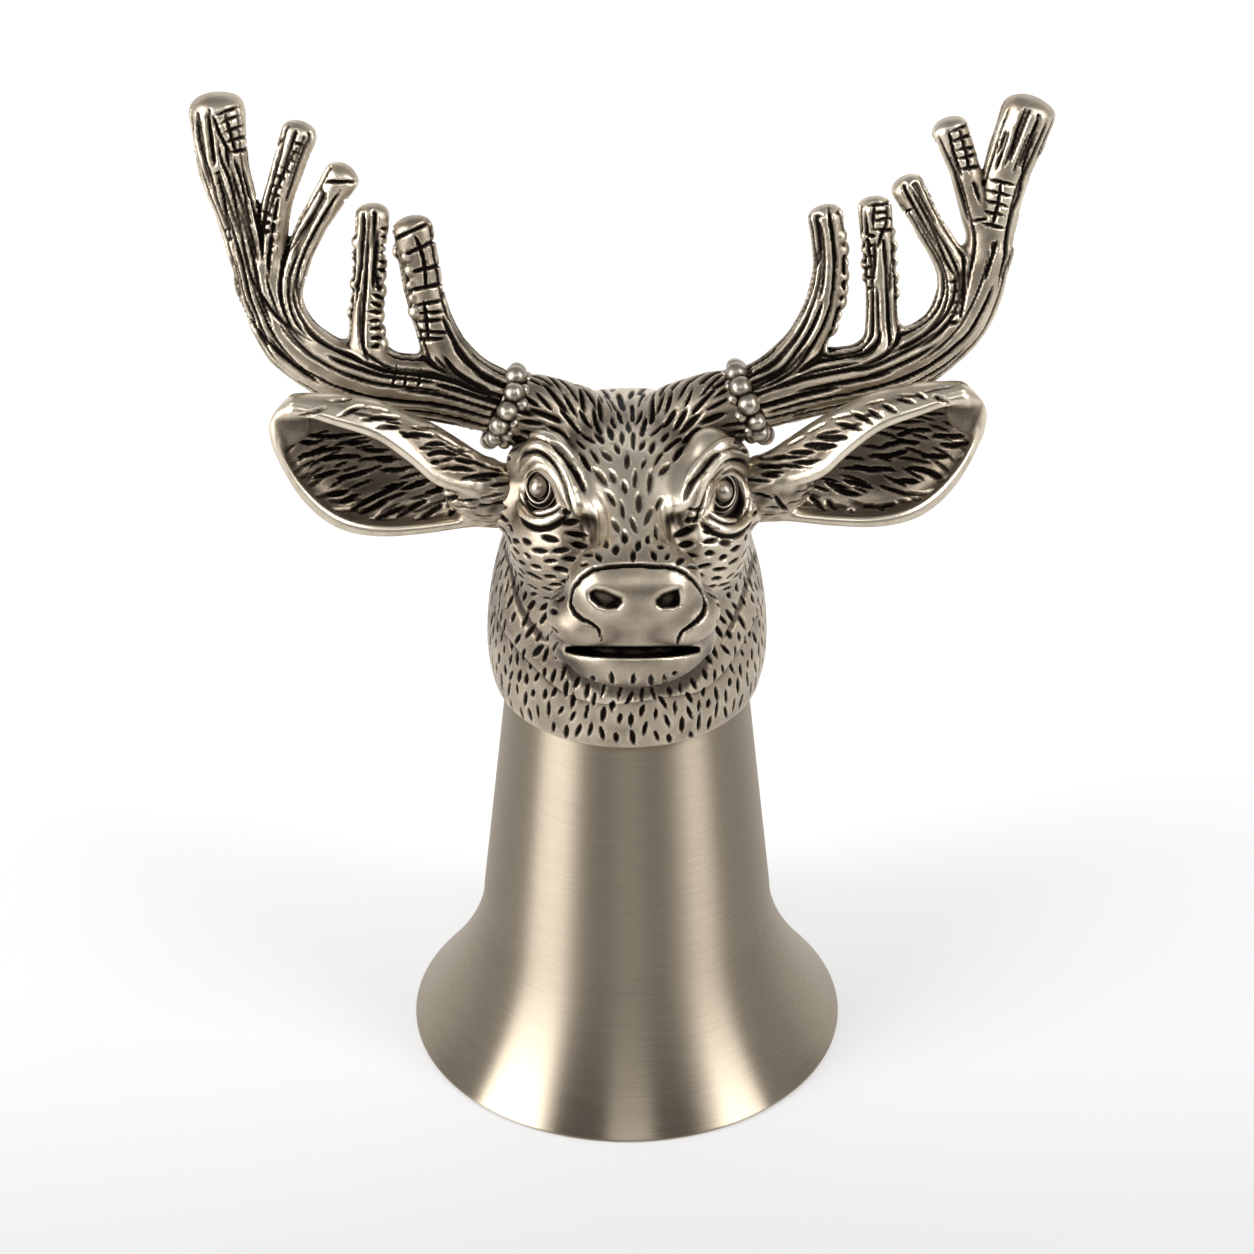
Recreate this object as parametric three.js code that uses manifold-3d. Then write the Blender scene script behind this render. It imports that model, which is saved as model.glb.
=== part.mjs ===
// A stag's head shot glass, built as a stirrup cup: a spun steel bell with a flared mouth, and a
// cast pewter stag's head that caps the bell's closed end. It stands on its mouth and is turned
// over to drink from. Millimetres, +Z up, the stag looks along -Y, and the origin is the centre
// of the rim's plane. Left and right are the viewer's, facing the stag.
import * as THREE from "three";
import { mergeVertices } from "three/addons/utils/BufferGeometryUtils.js";
import Module from "manifold-3d";

const wasm = await Module();
wasm.setup();

// The bell, outside sizes
const mouthRadius = 27;
const bodyRadius = 17.8;
const flareHeight = 19.7;
const flarePower = 1.72;
const bodyTaper = 0.099; // radius lost in each millimetre of height
const bellHeight = 72;
const bellWall = 0.9;
const bellEndCorner = 4;
const rimRound = 0.3;

// How the castings fit each other and the bell
const solderGap = 0.3;
const solderRingWidth = 0.6;
const solderRingHeight = 2.4;
const spigotRadius = 2.4;
const spigotLength = 5;
const earTenonRadius = 2.1;
const earTenonLength = 3.5;
const cutterRadius = 12; // wide and long enough to square off an antler's foot or a pedicle
const cutterLength = 20;

// The neck, which sleeves the bell
const collarZ = 52;
const neckBulgeZ = 58;
const neckWall = 2.6;
const neckDrawIn = 0.011; // radius lost for each square millimetre above the bulge
const collarDrawIn = 0.025; // and below it
const napeAboveBulge = 5;
const napeRadius = 12.4;
const castingWall = 2.4;

// The head, from the middle of the skull, which sits just above the bell's end
const skullAboveBell = 8.5;
const skullWidth = 27.6;
const skullDepth = 28.6;
const skullHeight = 20.4;
const muzzleReach = 27.2; // from the bell's axis to the nose
const muzzleWidth = 19.2;
const padWidth = 15;
const lipBelowSkull = 7.1; // down to the slit of the mouth
const chinBelowSkull = 14.8;
const mouthGap = 1.3;
const mouthDepth = 3.2;
const mouthTilt = 30; // degrees that the slit falls away backwards, to the corners of the lips
const eyeRadius = 2.2;
const eyeStretch = 1.25; // an eye is taller than it is wide
const eyeSpacing = skullWidth - 5.8;

// The beaded burrs and the antlers
const burrSpacing = skullWidth + 1.2; // between the two burrs' middles
const burrAboveSkull = 8.9;
const burrBack = 2;
const burrThickness = 2.2;
const burrCoreRadius = 4.5;
const beadRadius = 0.98;
const beadCount = 14;
const burrTilt = 21; // degrees that a burr's axis rises outwards
const beamBaseRadius = 3.9;
const beamFlatness = 0.88; // thickness over width
const antlerLean = 16; // degrees that the antlers lean back
const antlerSweep = 8; // degrees that they sweep back outwards

// The ears
const earLength = 31.4;
const earHalfWidth = 8.6;
const earDepthShare = 0.58;
const earWall = 1.3;
const earRise = 21; // degrees
const earStem = [3.9, 3.3, 5.6]; // half sizes of the lump that joins an ear to the head
const earRootInset = 0.6; // the ear's middle line starts inside the skull
const earRootForward = 3;
const earRootBelow = 1; // the middle of the skull

// Vectors and blending
const V = (x, y, z) => new THREE.Vector3(x, y, z);
const radians = THREE.MathUtils.degToRad;
const lerp = THREE.MathUtils.lerp;
const clamp = THREE.MathUtils.clamp;
const full = 2 * Math.PI;

function blend(a, b, softness) {
  const h = Math.max(softness - Math.abs(a - b), 0) / softness;
  return Math.min(a, b) - (h * h * softness) / 4;
}

// A curve through (at, value) pairs, smooth between them.
function through(pairs, t) {
  const last = pairs.length - 1;
  let i = 0;
  while (i < last - 1 && t > pairs[i + 1][0]) i++;
  const slope = (k) => {
    const a = pairs[Math.max(k - 1, 0)];
    const b = pairs[Math.min(k + 1, last)];
    return (b[1] - a[1]) / (b[0] - a[0]);
  };
  const span = pairs[i + 1][0] - pairs[i][0];
  const u = clamp((t - pairs[i][0]) / span, 0, 1);
  const [p, q] = [pairs[i][1], pairs[i + 1][1]];
  const [m, n] = [slope(i) * span, slope(i + 1) * span];
  return (2 * u ** 3 - 3 * u * u + 1) * p + (u ** 3 - 2 * u * u + u) * m
    + (3 * u * u - 2 * u ** 3) * q + (u ** 3 - u * u) * n;
}

// Solids
function solid(geometry) {
  const bare = geometry.index ? geometry.toNonIndexed() : geometry.clone();
  bare.deleteAttribute("normal");
  bare.deleteAttribute("uv");
  const merged = mergeVertices(bare, 1e-4);
  const mesh = new wasm.Mesh({
    numProp: 3,
    vertProperties: merged.attributes.position.array,
    triVerts: new Uint32Array(merged.index.array),
  });
  return new wasm.Manifold(mesh);
}

function geometryOf(body) {
  const mesh = body.getMesh();
  const positions = new Float32Array(mesh.numVert * 3);
  for (let i = 0; i < mesh.numVert; i++) {
    positions.set(mesh.vertProperties.subarray(i * mesh.numProp, i * mesh.numProp + 3), i * 3);
  }
  const geometry = new THREE.BufferGeometry();
  geometry.setAttribute("position", new THREE.BufferAttribute(positions, 3));
  geometry.setIndex(new THREE.BufferAttribute(mesh.triVerts, 1));
  const faceted = geometry.toNonIndexed();
  faceted.computeVertexNormals();
  return faceted;
}

// Turned about Z from (radius, height) points that start and end on the axis, or close.
const turned = (outline, segments) =>
  new THREE.LatheGeometry(outline.map(([r, z]) => new THREE.Vector2(r, z)), segments)
    .rotateX(Math.PI / 2);

// Rings of points, each ring closed, joined in order and capped by a point at each end.
function skinned(rings, start, end) {
  const sides = rings[0].length;
  const points = [start, ...rings.flat(), end];
  const at = (ring, i) => 1 + ring * sides + (i % sides);
  const faces = [];
  for (let i = 0; i < sides; i++) {
    faces.push(0, at(0, i + 1), at(0, i));
    for (let k = 0; k < rings.length - 1; k++) {
      faces.push(at(k, i), at(k, i + 1), at(k + 1, i + 1));
      faces.push(at(k, i), at(k + 1, i + 1), at(k + 1, i));
    }
    faces.push(at(rings.length - 1, i), at(rings.length - 1, i + 1), points.length - 1);
  }
  const geometry = new THREE.BufferGeometry().setFromPoints(points);
  geometry.setIndex(faces);
  return geometry;
}

// Moves a geometry made about the origin's Z so that it stands at a point, along an axis, with
// its X kept as level as can be.
function standing(geometry, point, axis) {
  const z = axis.clone().normalize();
  const x = V(0, 0, 1).cross(z).normalize();
  const y = z.clone().cross(x);
  const place = new THREE.Matrix4().makeBasis(x, y, z).setPosition(point);
  return geometry.clone().applyMatrix4(place);
}

// The bell
const flareSteps = 7;

function bellRadius(z) {
  const flare = Math.max(0, 1 - z / flareHeight) ** flarePower;
  return bodyRadius - bodyTaper * Math.max(0, z - flareHeight) + (mouthRadius - bodyRadius) * flare;
}

// Outside of the bell grown by an offset, from its rim or a level up to its closed end.
function bellOutline(offset, fromZ) {
  const shoulder = bellHeight + offset - bellEndCorner;
  const levels = [fromZ];
  for (let i = 1; i <= flareSteps; i++) levels.push((flareHeight * i) / flareSteps);
  const outline = [...levels.filter((z) => z >= fromZ), shoulder].map((z) => [bellRadius(z) + offset, z]);
  const corner = bellRadius(shoulder) + offset;
  for (const turn of [45, 90]) {
    const a = radians(turn);
    outline.push([corner - bellEndCorner * (1 - Math.cos(a)), shoulder + bellEndCorner * Math.sin(a)]);
  }
  return outline;
}

const bellSides = 36;

function makeBell() {
  const outer = bellOutline(0, rimRound);
  const inner = bellOutline(-bellWall, rimRound).reverse();
  const lip = [[mouthRadius - bellWall + rimRound / 2, 0], [mouthRadius - rimRound / 2, 0]];
  return turned([...outer, [0, bellHeight], [0, bellHeight - bellWall], ...inner, ...lip, outer[0]],
    bellSides);
}

// The soft solder that holds the head on, in a groove just inside the collar
const solderZ = collarZ + 1.8;
function solderOutline(clearance) {
  const inside = bellRadius(solderZ) + solderGap;
  const outside = inside + solderRingWidth;
  return [
    [inside, solderZ - clearance],
    [outside + clearance, solderZ - clearance],
    [outside + clearance, solderZ + solderRingHeight + clearance],
    [inside, solderZ + solderRingHeight + clearance],
    [inside, solderZ - clearance],
  ];
}

// The head is modelled as clay: balls and rods that flow into each other. Each gives about how far
// a point lies outside it, from a point whose x is taken as positive, so both sides come alike.
function ball(x, y, z, rx, ry, rz) {
  return (px, py, pz) => {
    const [dx, dy, dz] = [px - x, py - y, pz - z];
    const k = Math.hypot(dx / rx, dy / ry, dz / rz);
    const g = Math.hypot(dx / (rx * rx), dy / (ry * ry), dz / (rz * rz));
    return g > 0 ? (k * (k - 1)) / g : -Math.min(rx, ry, rz);
  };
}

function rod(x0, y0, z0, r0, x1, y1, z1, r1) {
  const [ax, ay, az] = [x1 - x0, y1 - y0, z1 - z0];
  const along = ax * ax + ay * ay + az * az;
  return (px, py, pz) => {
    const [dx, dy, dz] = [px - x0, py - y0, pz - z0];
    const t = clamp((dx * ax + dy * ay + dz * az) / along, 0, 1);
    return Math.hypot(dx - t * ax, dy - t * ay, dz - t * az) - lerp(r0, r1, t);
  };
}

function block(x, y, z, hx, hy, hz, round) {
  return (px, py, pz) => {
    const dx = Math.abs(px - x) - hx + round;
    const dy = Math.abs(py - y) - hy + round;
    const dz = Math.abs(pz - z) - hz + round;
    const outside = Math.hypot(Math.max(dx, 0), Math.max(dy, 0), Math.max(dz, 0));
    return outside + Math.min(Math.max(dx, dy, dz), 0) - round;
  };
}

const skullZ = bellHeight + skullAboveBell;
const skullX = skullWidth / 2;
const skullY = skullDepth / 2;
const skullUp = skullHeight / 2;
const noseY = -muzzleReach;
const lipX = muzzleWidth / 2;
const eyeX = eyeSpacing / 2;
const burrX = burrSpacing / 2;
const neckRadius = bellRadius(neckBulgeZ) + solderGap + neckWall;
const neckFootZ = collarZ - 8; // the clay runs on below the collar and is cut there
const neckTopZ = skullZ + 1;

function neck(px, py, pz) {
  const drawIn = pz > neckBulgeZ ? neckDrawIn : collarDrawIn;
  const round = Math.hypot(px, py) - neckRadius + drawIn * (pz - neckBulgeZ) ** 2;
  return Math.max(round, neckFootZ - pz, pz - neckTopZ);
}

const lipZ = skullZ - lipBelowSkull;
const chinZ = skullZ - chinBelowSkull;
const pad = padWidth / 2;

const clay = [
  [2.5, ball(0, 1, skullZ - 1, skullX, skullY, skullUp - 0.9)],
  [3, ball(0, -5, skullZ + 2.6, 9.5, 9, 6.3)], // forehead
  [3, rod(0, 6, skullZ - 1.5, 9, 0, 4, neckBulgeZ + napeAboveBulge, napeRadius)], // nape
  [2.5, rod(4.5, burrBack, skullZ + 5, 4.6, burrX, burrBack, skullZ + burrAboveSkull, 4.1)], // pedicle
  [1.5, rod(9.5, -6.4, skullZ + 7.8, 2.1, eyeX + 1.3, -3.6, skullZ + 4.6, 2.2)], // brow, outer
  [1.5, rod(9.5, -6.4, skullZ + 7.8, 2.1, 5.4, -12, skullZ + 4.4, 2)], // brow, inner
  [2, rod(0, -9, skullZ + 3.4, 4.6, 0, noseY + 5, skullZ, 3.6)], // bridge
  [2, rod(0, -9, skullZ - 4.4, 7.4, 0, noseY + 7.4, skullZ - 4.6, 6.6)], // muzzle
  [1.2, block(0, noseY + 4.6, skullZ - 0.7, pad, 4.6, 4.9, 3.9)], // nose pad
  [1.2, ball(lipX - 4.6, noseY + 5.4, lipZ + 2.6, 4.6, 5, 3.5)], // upper lip
  [1.2, ball(0, noseY + 7.4, chinZ + 5.1, lipX - 1.3, 7, 5.1)], // lower lip and chin
  [2, rod(0, -15, chinZ + 6, 5, 5, -6, chinZ + 7.2, 6.5)], // jaw root
  [2.5, ball(8, -6, skullZ - 3.8, 6.3, 8.4, 7.8)], // cheek
  [1.5, rod(7.2, -12, skullZ - 1.4, 2.2, eyeX + 1, -4.2, skullZ - 1.8, 2.8)], // cheekbone
  [2, rod(9, -2, skullZ - 0.8, 5, skullX - 0.8, -2.6, skullZ - 1, 4)], // ear boss
];

function headClay(px, py, pz) {
  const x = Math.abs(px);
  let d = neck(x, py, pz);
  for (const [softness, shape] of clay) d = blend(d, shape(x, py, pz), softness);
  return d;
}

// The clay's skin, found along rays from inside the head. The rays bunch round the nose.
const headCentre = V(0, -7, skullZ - 3.5);
const headSides = 42;
const headRings = 32;
const headReach = 60;

function skinAlong(direction, offset) {
  const level = (r) =>
    headClay(
      headCentre.x + direction.x * r,
      headCentre.y + direction.y * r,
      headCentre.z + direction.z * r,
    ) - offset;
  let outside = headReach;
  while (level(outside) > 0) outside -= 0.5;
  let inside = outside;
  outside += 0.5;
  for (let i = 0; i < 12; i++) {
    const middle = (inside + outside) / 2;
    if (level(middle) > 0) outside = middle;
    else inside = middle;
  }
  return headCentre.clone().addScaledVector(direction, inside);
}

function headSkin(offset, sides, ringCount) {
  const rings = [];
  for (let k = 1; k < ringCount; k++) {
    const t = k / ringCount;
    const polar = Math.PI * (0.62 * t + 0.38 * t * t);
    const ring = [];
    for (let i = 0; i < sides; i++) {
      const around = (full * i) / sides;
      const side = Math.sin(polar);
      const direction = V(side * Math.sin(around), -Math.cos(polar), side * Math.cos(around));
      ring.push(skinAlong(direction, offset));
    }
    rings.push(ring);
  }
  return skinned(rings, skinAlong(V(0, -1, 0), offset), skinAlong(V(0, 1, 0), offset));
}

// Eyes: round-headed studs set in sockets, turned outwards, forwards and a little up
const eyeSides = 14;
const eyeShank = 1.1;
const eyeShankLength = 3;

function eyeSeat(side) {
  const axis = V(side * 0.62, -0.72, 0.32).normalize();
  const seat = V(side * eyeX, -7.6, skullZ + 3.2 - (side > 0 ? 0.5 : -0.5));
  let out = 0;
  while (headClay(...seat.clone().addScaledVector(axis, out)) < 0) out += 0.05;
  return { axis, point: seat.addScaledVector(axis, out - 0.5) };
}

const eyeHeadFoot = -0.8;

const eyeStud = turned([
  [0, -eyeShankLength],
  [eyeShank, -eyeShankLength],
  [eyeShank, eyeHeadFoot],
  [eyeRadius, eyeHeadFoot],
  [eyeRadius, 0.3],
  [eyeRadius * 0.86, 0.75],
  [eyeRadius * 0.7, 0.62],
  [eyeRadius * 0.6, 0.9],
  [eyeRadius * 0.4, 1.4],
  [0, 1.65],
], eyeSides).scale(1, eyeStretch, 1);

const eyeSocket = turned([
  [0, -eyeShankLength - solderGap],
  [eyeShank + solderGap, -eyeShankLength - solderGap],
  [eyeShank + solderGap, eyeHeadFoot - solderGap],
  [eyeRadius + solderGap, eyeHeadFoot - solderGap],
  [eyeRadius + solderGap, 4],
  [0, 4],
], eyeSides).scale(1, eyeStretch, 1);

function eyelid() {
  const lid = new THREE.TorusGeometry(eyeRadius + solderGap + 0.75, 0.85, 5, eyeSides);
  return lid.scale(1, eyeStretch, 1).translate(0, 0, 0.15);
}

// Burrs and spigots
function burrFrame(side) {
  const tilt = radians(burrTilt);
  const sweep = radians(antlerSweep);
  const axis = V(side * Math.cos(tilt) * Math.cos(sweep), Math.cos(tilt) * Math.sin(sweep), Math.sin(tilt));
  return { axis, point: V(side * burrX, burrBack, skullZ + burrAboveSkull) };
}

const burrFace = burrThickness / 2 + solderGap;

function makeBurr(side) {
  const { axis, point } = burrFrame(side);
  const bore = spigotRadius + solderGap;
  const half = burrThickness / 2;
  const core = turned([
    [bore, -half],
    [burrCoreRadius - 0.2, -half],
    [burrCoreRadius - 0.2, half],
    [bore, half],
    [bore, -half],
  ], beadCount);
  let burr = solid(core);
  for (let i = 0; i < beadCount; i++) {
    const turn = (full * i) / beadCount;
    const bead = new THREE.SphereGeometry(beadRadius, 6, 5).rotateX(Math.PI / 2);
    bead.translate(burrCoreRadius * Math.cos(turn), burrCoreRadius * Math.sin(turn), 0);
    burr = burr.add(solid(bead));
  }
  return solid(standing(geometryOf(burr), point, axis));
}

// Antlers, cast flat in their own plane: u runs outwards from the burr and v up the plane.
// Each limb is a list of [u, v, radius].
const antlers = {
  left: {
    beam: [[1.4, 0.5, beamBaseRadius], [7.9, 1.7, 3.9], [14.6, 2, 3.9], [21.1, 3.6, 3.7], [26.5, 7.7, 3.3],
      [29.1, 13, 2.8], [31.6, 20.7, 2.7], [33.8, 27.3, 3], [34.6, 33.6, 3.3]],
    tines: [
      [[29.6, 13, 2.2], [28.3, 17.9, 2.1], [27.4, 23.5, 1.8], [25.2, 31.6, 2.1]],
      [[25.6, 6.2, 2.6], [26.2, 12, 1.9], [24.6, 19.4, 1.7], [20.9, 26.9, 2.1]],
      [[15.6, 2.6, 2.8], [16.7, 8, 2], [16.4, 14, 1.8], [15.7, 22, 2]],
      [[3, 1.6, 3.2], [7.2, 6.6, 2.6], [9.4, 12, 2.3], [10.6, 17, 2.4], [12, 20.8, 2.4]],
    ],
  },
  right: {
    beam: [[1.4, 0.5, beamBaseRadius], [8.7, 1.5, 3.9], [15.9, 2.2, 3.9], [22.4, 4.7, 3.6], [27.4, 9.5, 3.2],
      [29.8, 16.7, 2.7], [31.6, 23.8, 2.8], [34, 29.8, 3.2], [35, 32.4, 3.3]],
    tines: [
      [[29.9, 16, 2.3], [28.6, 20.2, 2.1], [27, 26, 1.9], [25.4, 31.2, 2.2]],
      [[25.5, 7.6, 2.6], [25.3, 13.9, 2], [22.8, 19, 1.8], [19.7, 24.6, 2.1]],
      [[16.6, 3.4, 2.7], [16.5, 9, 1.9], [16.5, 15.6, 1.9], [16.3, 22.4, 2.2]],
      [[3, 1.8, 3.2], [7.4, 7, 2.4], [9.7, 12, 2.1], [10.4, 16.4, 1.9], [10.2, 21.4, 2.1]],
    ],
  },
};

function antlerFrame(side) {
  const lean = radians(antlerLean);
  const sweep = radians(antlerSweep);
  const u = V(side * Math.cos(sweep), Math.sin(sweep), 0);
  const back = V(-side * Math.sin(sweep), Math.cos(sweep), 0);
  const v = V(0, 0, Math.cos(lean)).addScaledVector(back, Math.sin(lean));
  const across = u.clone().cross(v).normalize();
  return { u, v, across, origin: burrFrame(side).point };
}

// A tapered limb with round ends.
function limb(points, frame, sides, stepsEach) {
  const centres = points.map(([u, v]) =>
    frame.origin.clone().addScaledVector(frame.u, u).addScaledVector(frame.v, v));
  const curve = new THREE.CatmullRomCurve3(centres);
  const last = points.length - 1;
  const widths = points.map(([, , r], i) => [i / last, r]);
  const steps = last * stepsEach;
  const rings = [];
  const ring = (centre, tangent, r) => {
    const wide = frame.across.clone().cross(tangent).normalize();
    const out = [];
    for (let i = 0; i < sides; i++) {
      const a = (full * i) / sides;
      out.push(centre.clone().addScaledVector(wide, r * Math.cos(a))
        .addScaledVector(frame.across, r * beamFlatness * Math.sin(a)));
    }
    rings.push(out);
  };
  const cap = (t, outwards, turns) => {
    const [centre, tangent, r] = [curve.getPoint(t), curve.getTangent(t), through(widths, t)];
    for (const turn of turns) {
      const a = radians(turn);
      const shifted = centre.clone().addScaledVector(tangent, outwards * r * 0.7 * Math.sin(a));
      ring(shifted, tangent, r * Math.cos(a));
    }
    return centre.clone().addScaledVector(tangent, outwards * r * 0.7);
  };
  const start = cap(0, -1, [45]);
  for (let i = 0; i <= steps; i++) {
    const t = i / steps;
    ring(curve.getPoint(t), curve.getTangent(t), through(widths, t));
  }
  const end = cap(1, 1, [28, 58]);
  return solid(skinned(rings, start, end));
}

const beamSides = 12;
const tineSides = 8;

function makeAntler(name, side) {
  const frame = antlerFrame(side);
  const { axis, point } = burrFrame(side);
  const { beam, tines } = antlers[name];
  let antler = limb(beam, frame, beamSides, 2);
  for (const tine of tines) antler = antler.add(limb(tine, frame, tineSides, 2));
  // Square the foot off where it meets the burr, then give it the spigot.
  const block = turned([
    [0, -cutterLength],
    [cutterRadius, -cutterLength],
    [cutterRadius, burrFace],
    [0, burrFace],
  ], 16);
  antler = antler.subtract(solid(standing(block, point, axis)));
  const spigot = turned([
    [0, -spigotLength],
    [spigotRadius, -spigotLength],
    [spigotRadius, burrFace + 2],
    [0, burrFace + 2],
  ], 20);
  return antler.add(solid(standing(spigot, point, axis)));
}

// Ears: a leaf-shaped trough that opens forwards, lofted from C-shaped sections. The share of the
// length goes with the half width, and with the turns at which the C's upper and lower edges end.
const leaf = [[0, 0.42], [0.13, 0.52], [0.3, 0.76], [0.41, 0.9], [0.51, 0.98], [0.63, 1], [0.77, 0.86], [0.88, 0.62],
  [0.96, 0.34], [1, 0.13]];
const upperEdge = [[0, 150], [0.2, 155], [0.36, 152], [0.46, 140], [0.6, 128], [0.8, 124], [1, 120]];
const earHook = [[0, 0], [0.3, -0.093], [0.6, -0.105], [0.8, 0.035], [1, 0.302]]; // middle line, in half widths
const lowerEdge = -113;
const earSections = 13;
const earArc = 10;

function earFrame(side) {
  const rise = radians(earRise);
  const along = V(side * Math.cos(rise), -0.06, Math.sin(rise)).normalize();
  const back = V(0, 1, 0).addScaledVector(along, -along.y).normalize();
  const up = back.clone().cross(along).multiplyScalar(-side);
  const root = V(side * (skullX - earRootInset), -earRootForward, skullZ - earRootBelow);
  let out = 0;
  while (headClay(...root.clone().addScaledVector(along, out)) < 0) out += 0.05;
  return { along, back, up, root, seat: root.clone().addScaledVector(along, out) };
}

function makeEar(side, headGrown) {
  const { along, back, up, root, seat } = earFrame(side);
  const rings = [];
  for (let k = 0; k < earSections; k++) {
    const s = k / (earSections - 1);
    const half = earHalfWidth * through(leaf, s);
    const depth = half * earDepthShare;
    const wall = Math.min(earWall, half * 0.5, depth * 0.6);
    const middle = root.clone().addScaledVector(along, earLength * s)
      .addScaledVector(up, earHalfWidth * through(earHook, s));
    const [from, to] = [radians(lowerEdge), radians(through(upperEdge, s))];
    const at = (turn, inset) => middle.clone()
      .addScaledVector(back, (depth - inset) * Math.cos(turn))
      .addScaledVector(up, (half - inset) * Math.sin(turn));
    const ring = [];
    for (let i = 0; i <= earArc; i++) ring.push(at(lerp(from, to, i / earArc), 0));
    for (let i = 0; i <= earArc; i++) ring.push(at(lerp(to, from, i / earArc), wall));
    rings.push(side > 0 ? ring : ring.reverse());
  }
  const middleOf = (ring) => ring.reduce((sum, p) => sum.add(p), V(0, 0, 0)).divideScalar(ring.length);
  const trough = solid(skinned(rings, middleOf(rings[0]), middleOf(rings[earSections - 1])));
  const stem = new THREE.SphereGeometry(1, 12, 8).scale(...earStem);
  const tenon = turned([
    [0, -earTenonLength],
    [earTenonRadius, -earTenonLength],
    [earTenonRadius, 2],
    [0, 2],
  ], 20);
  return trough.add(solid(standing(stem, seat, along)))
    .subtract(headGrown)
    .add(solid(standing(tenon, seat, along)));
}

// The head casting
function makeHead() {
  let head = solid(headSkin(0, headSides, headRings));
  const wide = 3 * neckRadius;
  const foot = turned([[0, neckFootZ - 5], [wide, neckFootZ - 5], [wide, collarZ], [0, collarZ]], 16);
  head = head.subtract(solid(foot));
  // The sleeve for the bell, and above it the hollow that the casting is left with.
  const sleeve = [[0, collarZ - 4], ...bellOutline(solderGap, collarZ - 4), [0, bellHeight + solderGap]];
  head = head.subtract(solid(turned(sleeve, bellSides)));
  head = head.subtract(solid(turned(solderOutline(solderGap), bellSides)));
  const hollowTop = skullZ + skullUp - castingWall;
  const hollowFoot = bellHeight - 3;
  const hollow = new THREE.SphereGeometry(1, 14, 8)
    .scale(skullX - castingWall - 1.6, skullY - castingWall - 2, (hollowTop - hollowFoot) / 2)
    .translate(0, 1, (hollowTop + hollowFoot) / 2);
  head = head.subtract(solid(hollow));
  for (const side of [-1, 1]) {
    const eye = eyeSeat(side);
    head = head.add(solid(standing(eyelid(), eye.point, eye.axis)));
    head = head.subtract(solid(standing(eyeSocket, eye.point, eye.axis)));
    const burr = burrFrame(side);
    const end = turned([
      [0, -burrFace],
      [cutterRadius, -burrFace],
      [cutterRadius, cutterLength],
      [0, cutterLength],
    ], 16);
    head = head.subtract(solid(standing(end, burr.point, burr.axis)));
    const hole = turned([
      [0, -spigotLength - solderGap],
      [spigotRadius + solderGap, -spigotLength - solderGap],
      [spigotRadius + solderGap, 4],
      [0, 4],
    ], 20);
    head = head.subtract(solid(standing(hole, burr.point, burr.axis)));
    const ear = earFrame(side);
    const pocket = turned([
      [0, -earTenonLength - solderGap],
      [earTenonRadius + solderGap, -earTenonLength - solderGap],
      [earTenonRadius + solderGap, 4],
      [0, 4],
    ], 20);
    head = head.subtract(solid(standing(pocket, ear.seat, ear.along)));
    const nostril = new THREE.SphereGeometry(1, 12, 8).scale(2.05, 2.4, 1.35).rotateY(side * radians(-10));
    nostril.translate(side * pad * 0.48, noseY + 0.2, skullZ + 0.4);
    head = head.subtract(solid(nostril));
  }
  return head.subtract(mouthSlit());
}

// The slit between the lips: an arc round the muzzle that stays shallow and falls to its corners,
// so that it looks straight from the front and above.
function mouthSlit() {
  const reachX = lipX + 1.5;
  const reachY = lipX - 0.1;
  const slit = new THREE.Shape();
  const [from, to] = [radians(200), radians(340)];
  slit.absellipse(0, 0, reachX, reachY, from, to, false, 0);
  slit.absellipse(0, 0, reachX - mouthDepth, reachY - mouthDepth, to, from, true, 0);
  const cut = new THREE.ExtrudeGeometry(slit, { depth: mouthGap, bevelEnabled: false, curveSegments: 12 });
  const tilt = radians(mouthTilt);
  // Turned about the front of the arc, which stays on the lips.
  cut.translate(0, reachY, -mouthGap / 2).rotateX(-tilt);
  return solid(cut.translate(0, noseY - 1.1, lipZ));
}

// Pewter and steel
const finishes = {
  steel: new THREE.MeshStandardMaterial({ color: 0xb9b2a6, metalness: 1, roughness: 0.34 }),
  pewter: new THREE.MeshStandardMaterial({ color: 0x948c80, metalness: 1, roughness: 0.42 }),
  brightPewter: new THREE.MeshStandardMaterial({ color: 0xa8a195, metalness: 1, roughness: 0.3 }),
  solder: new THREE.MeshStandardMaterial({ color: 0x85807a, metalness: 1, roughness: 0.5 }),
};

const shotGlass = new THREE.Group();

function piece(name, geometry, finish) {
  const mesh = new THREE.Mesh(geometry, finish);
  mesh.name = name;
  shotGlass.add(mesh);
}

piece("bell_cup", makeBell(), finishes.steel);
piece("solder_ring", turned(solderOutline(0), bellSides), finishes.solder);
piece("head_casting", geometryOf(makeHead()), finishes.pewter);
const headGrown = solid(headSkin(solderGap, headSides, headRings));
for (const [name, side] of [["left", -1], ["right", 1]]) {
  piece("burr_ring_" + name, geometryOf(makeBurr(side)), finishes.brightPewter);
  piece("antler_" + name, geometryOf(makeAntler(name, side)), finishes.pewter);
  piece("ear_" + name, geometryOf(makeEar(side, headGrown)), finishes.pewter);
  const eye = eyeSeat(side);
  piece("eye_" + name, standing(eyeStud, eye.point, eye.axis), finishes.brightPewter);
}

export default shotGlass;
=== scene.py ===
import math

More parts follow.
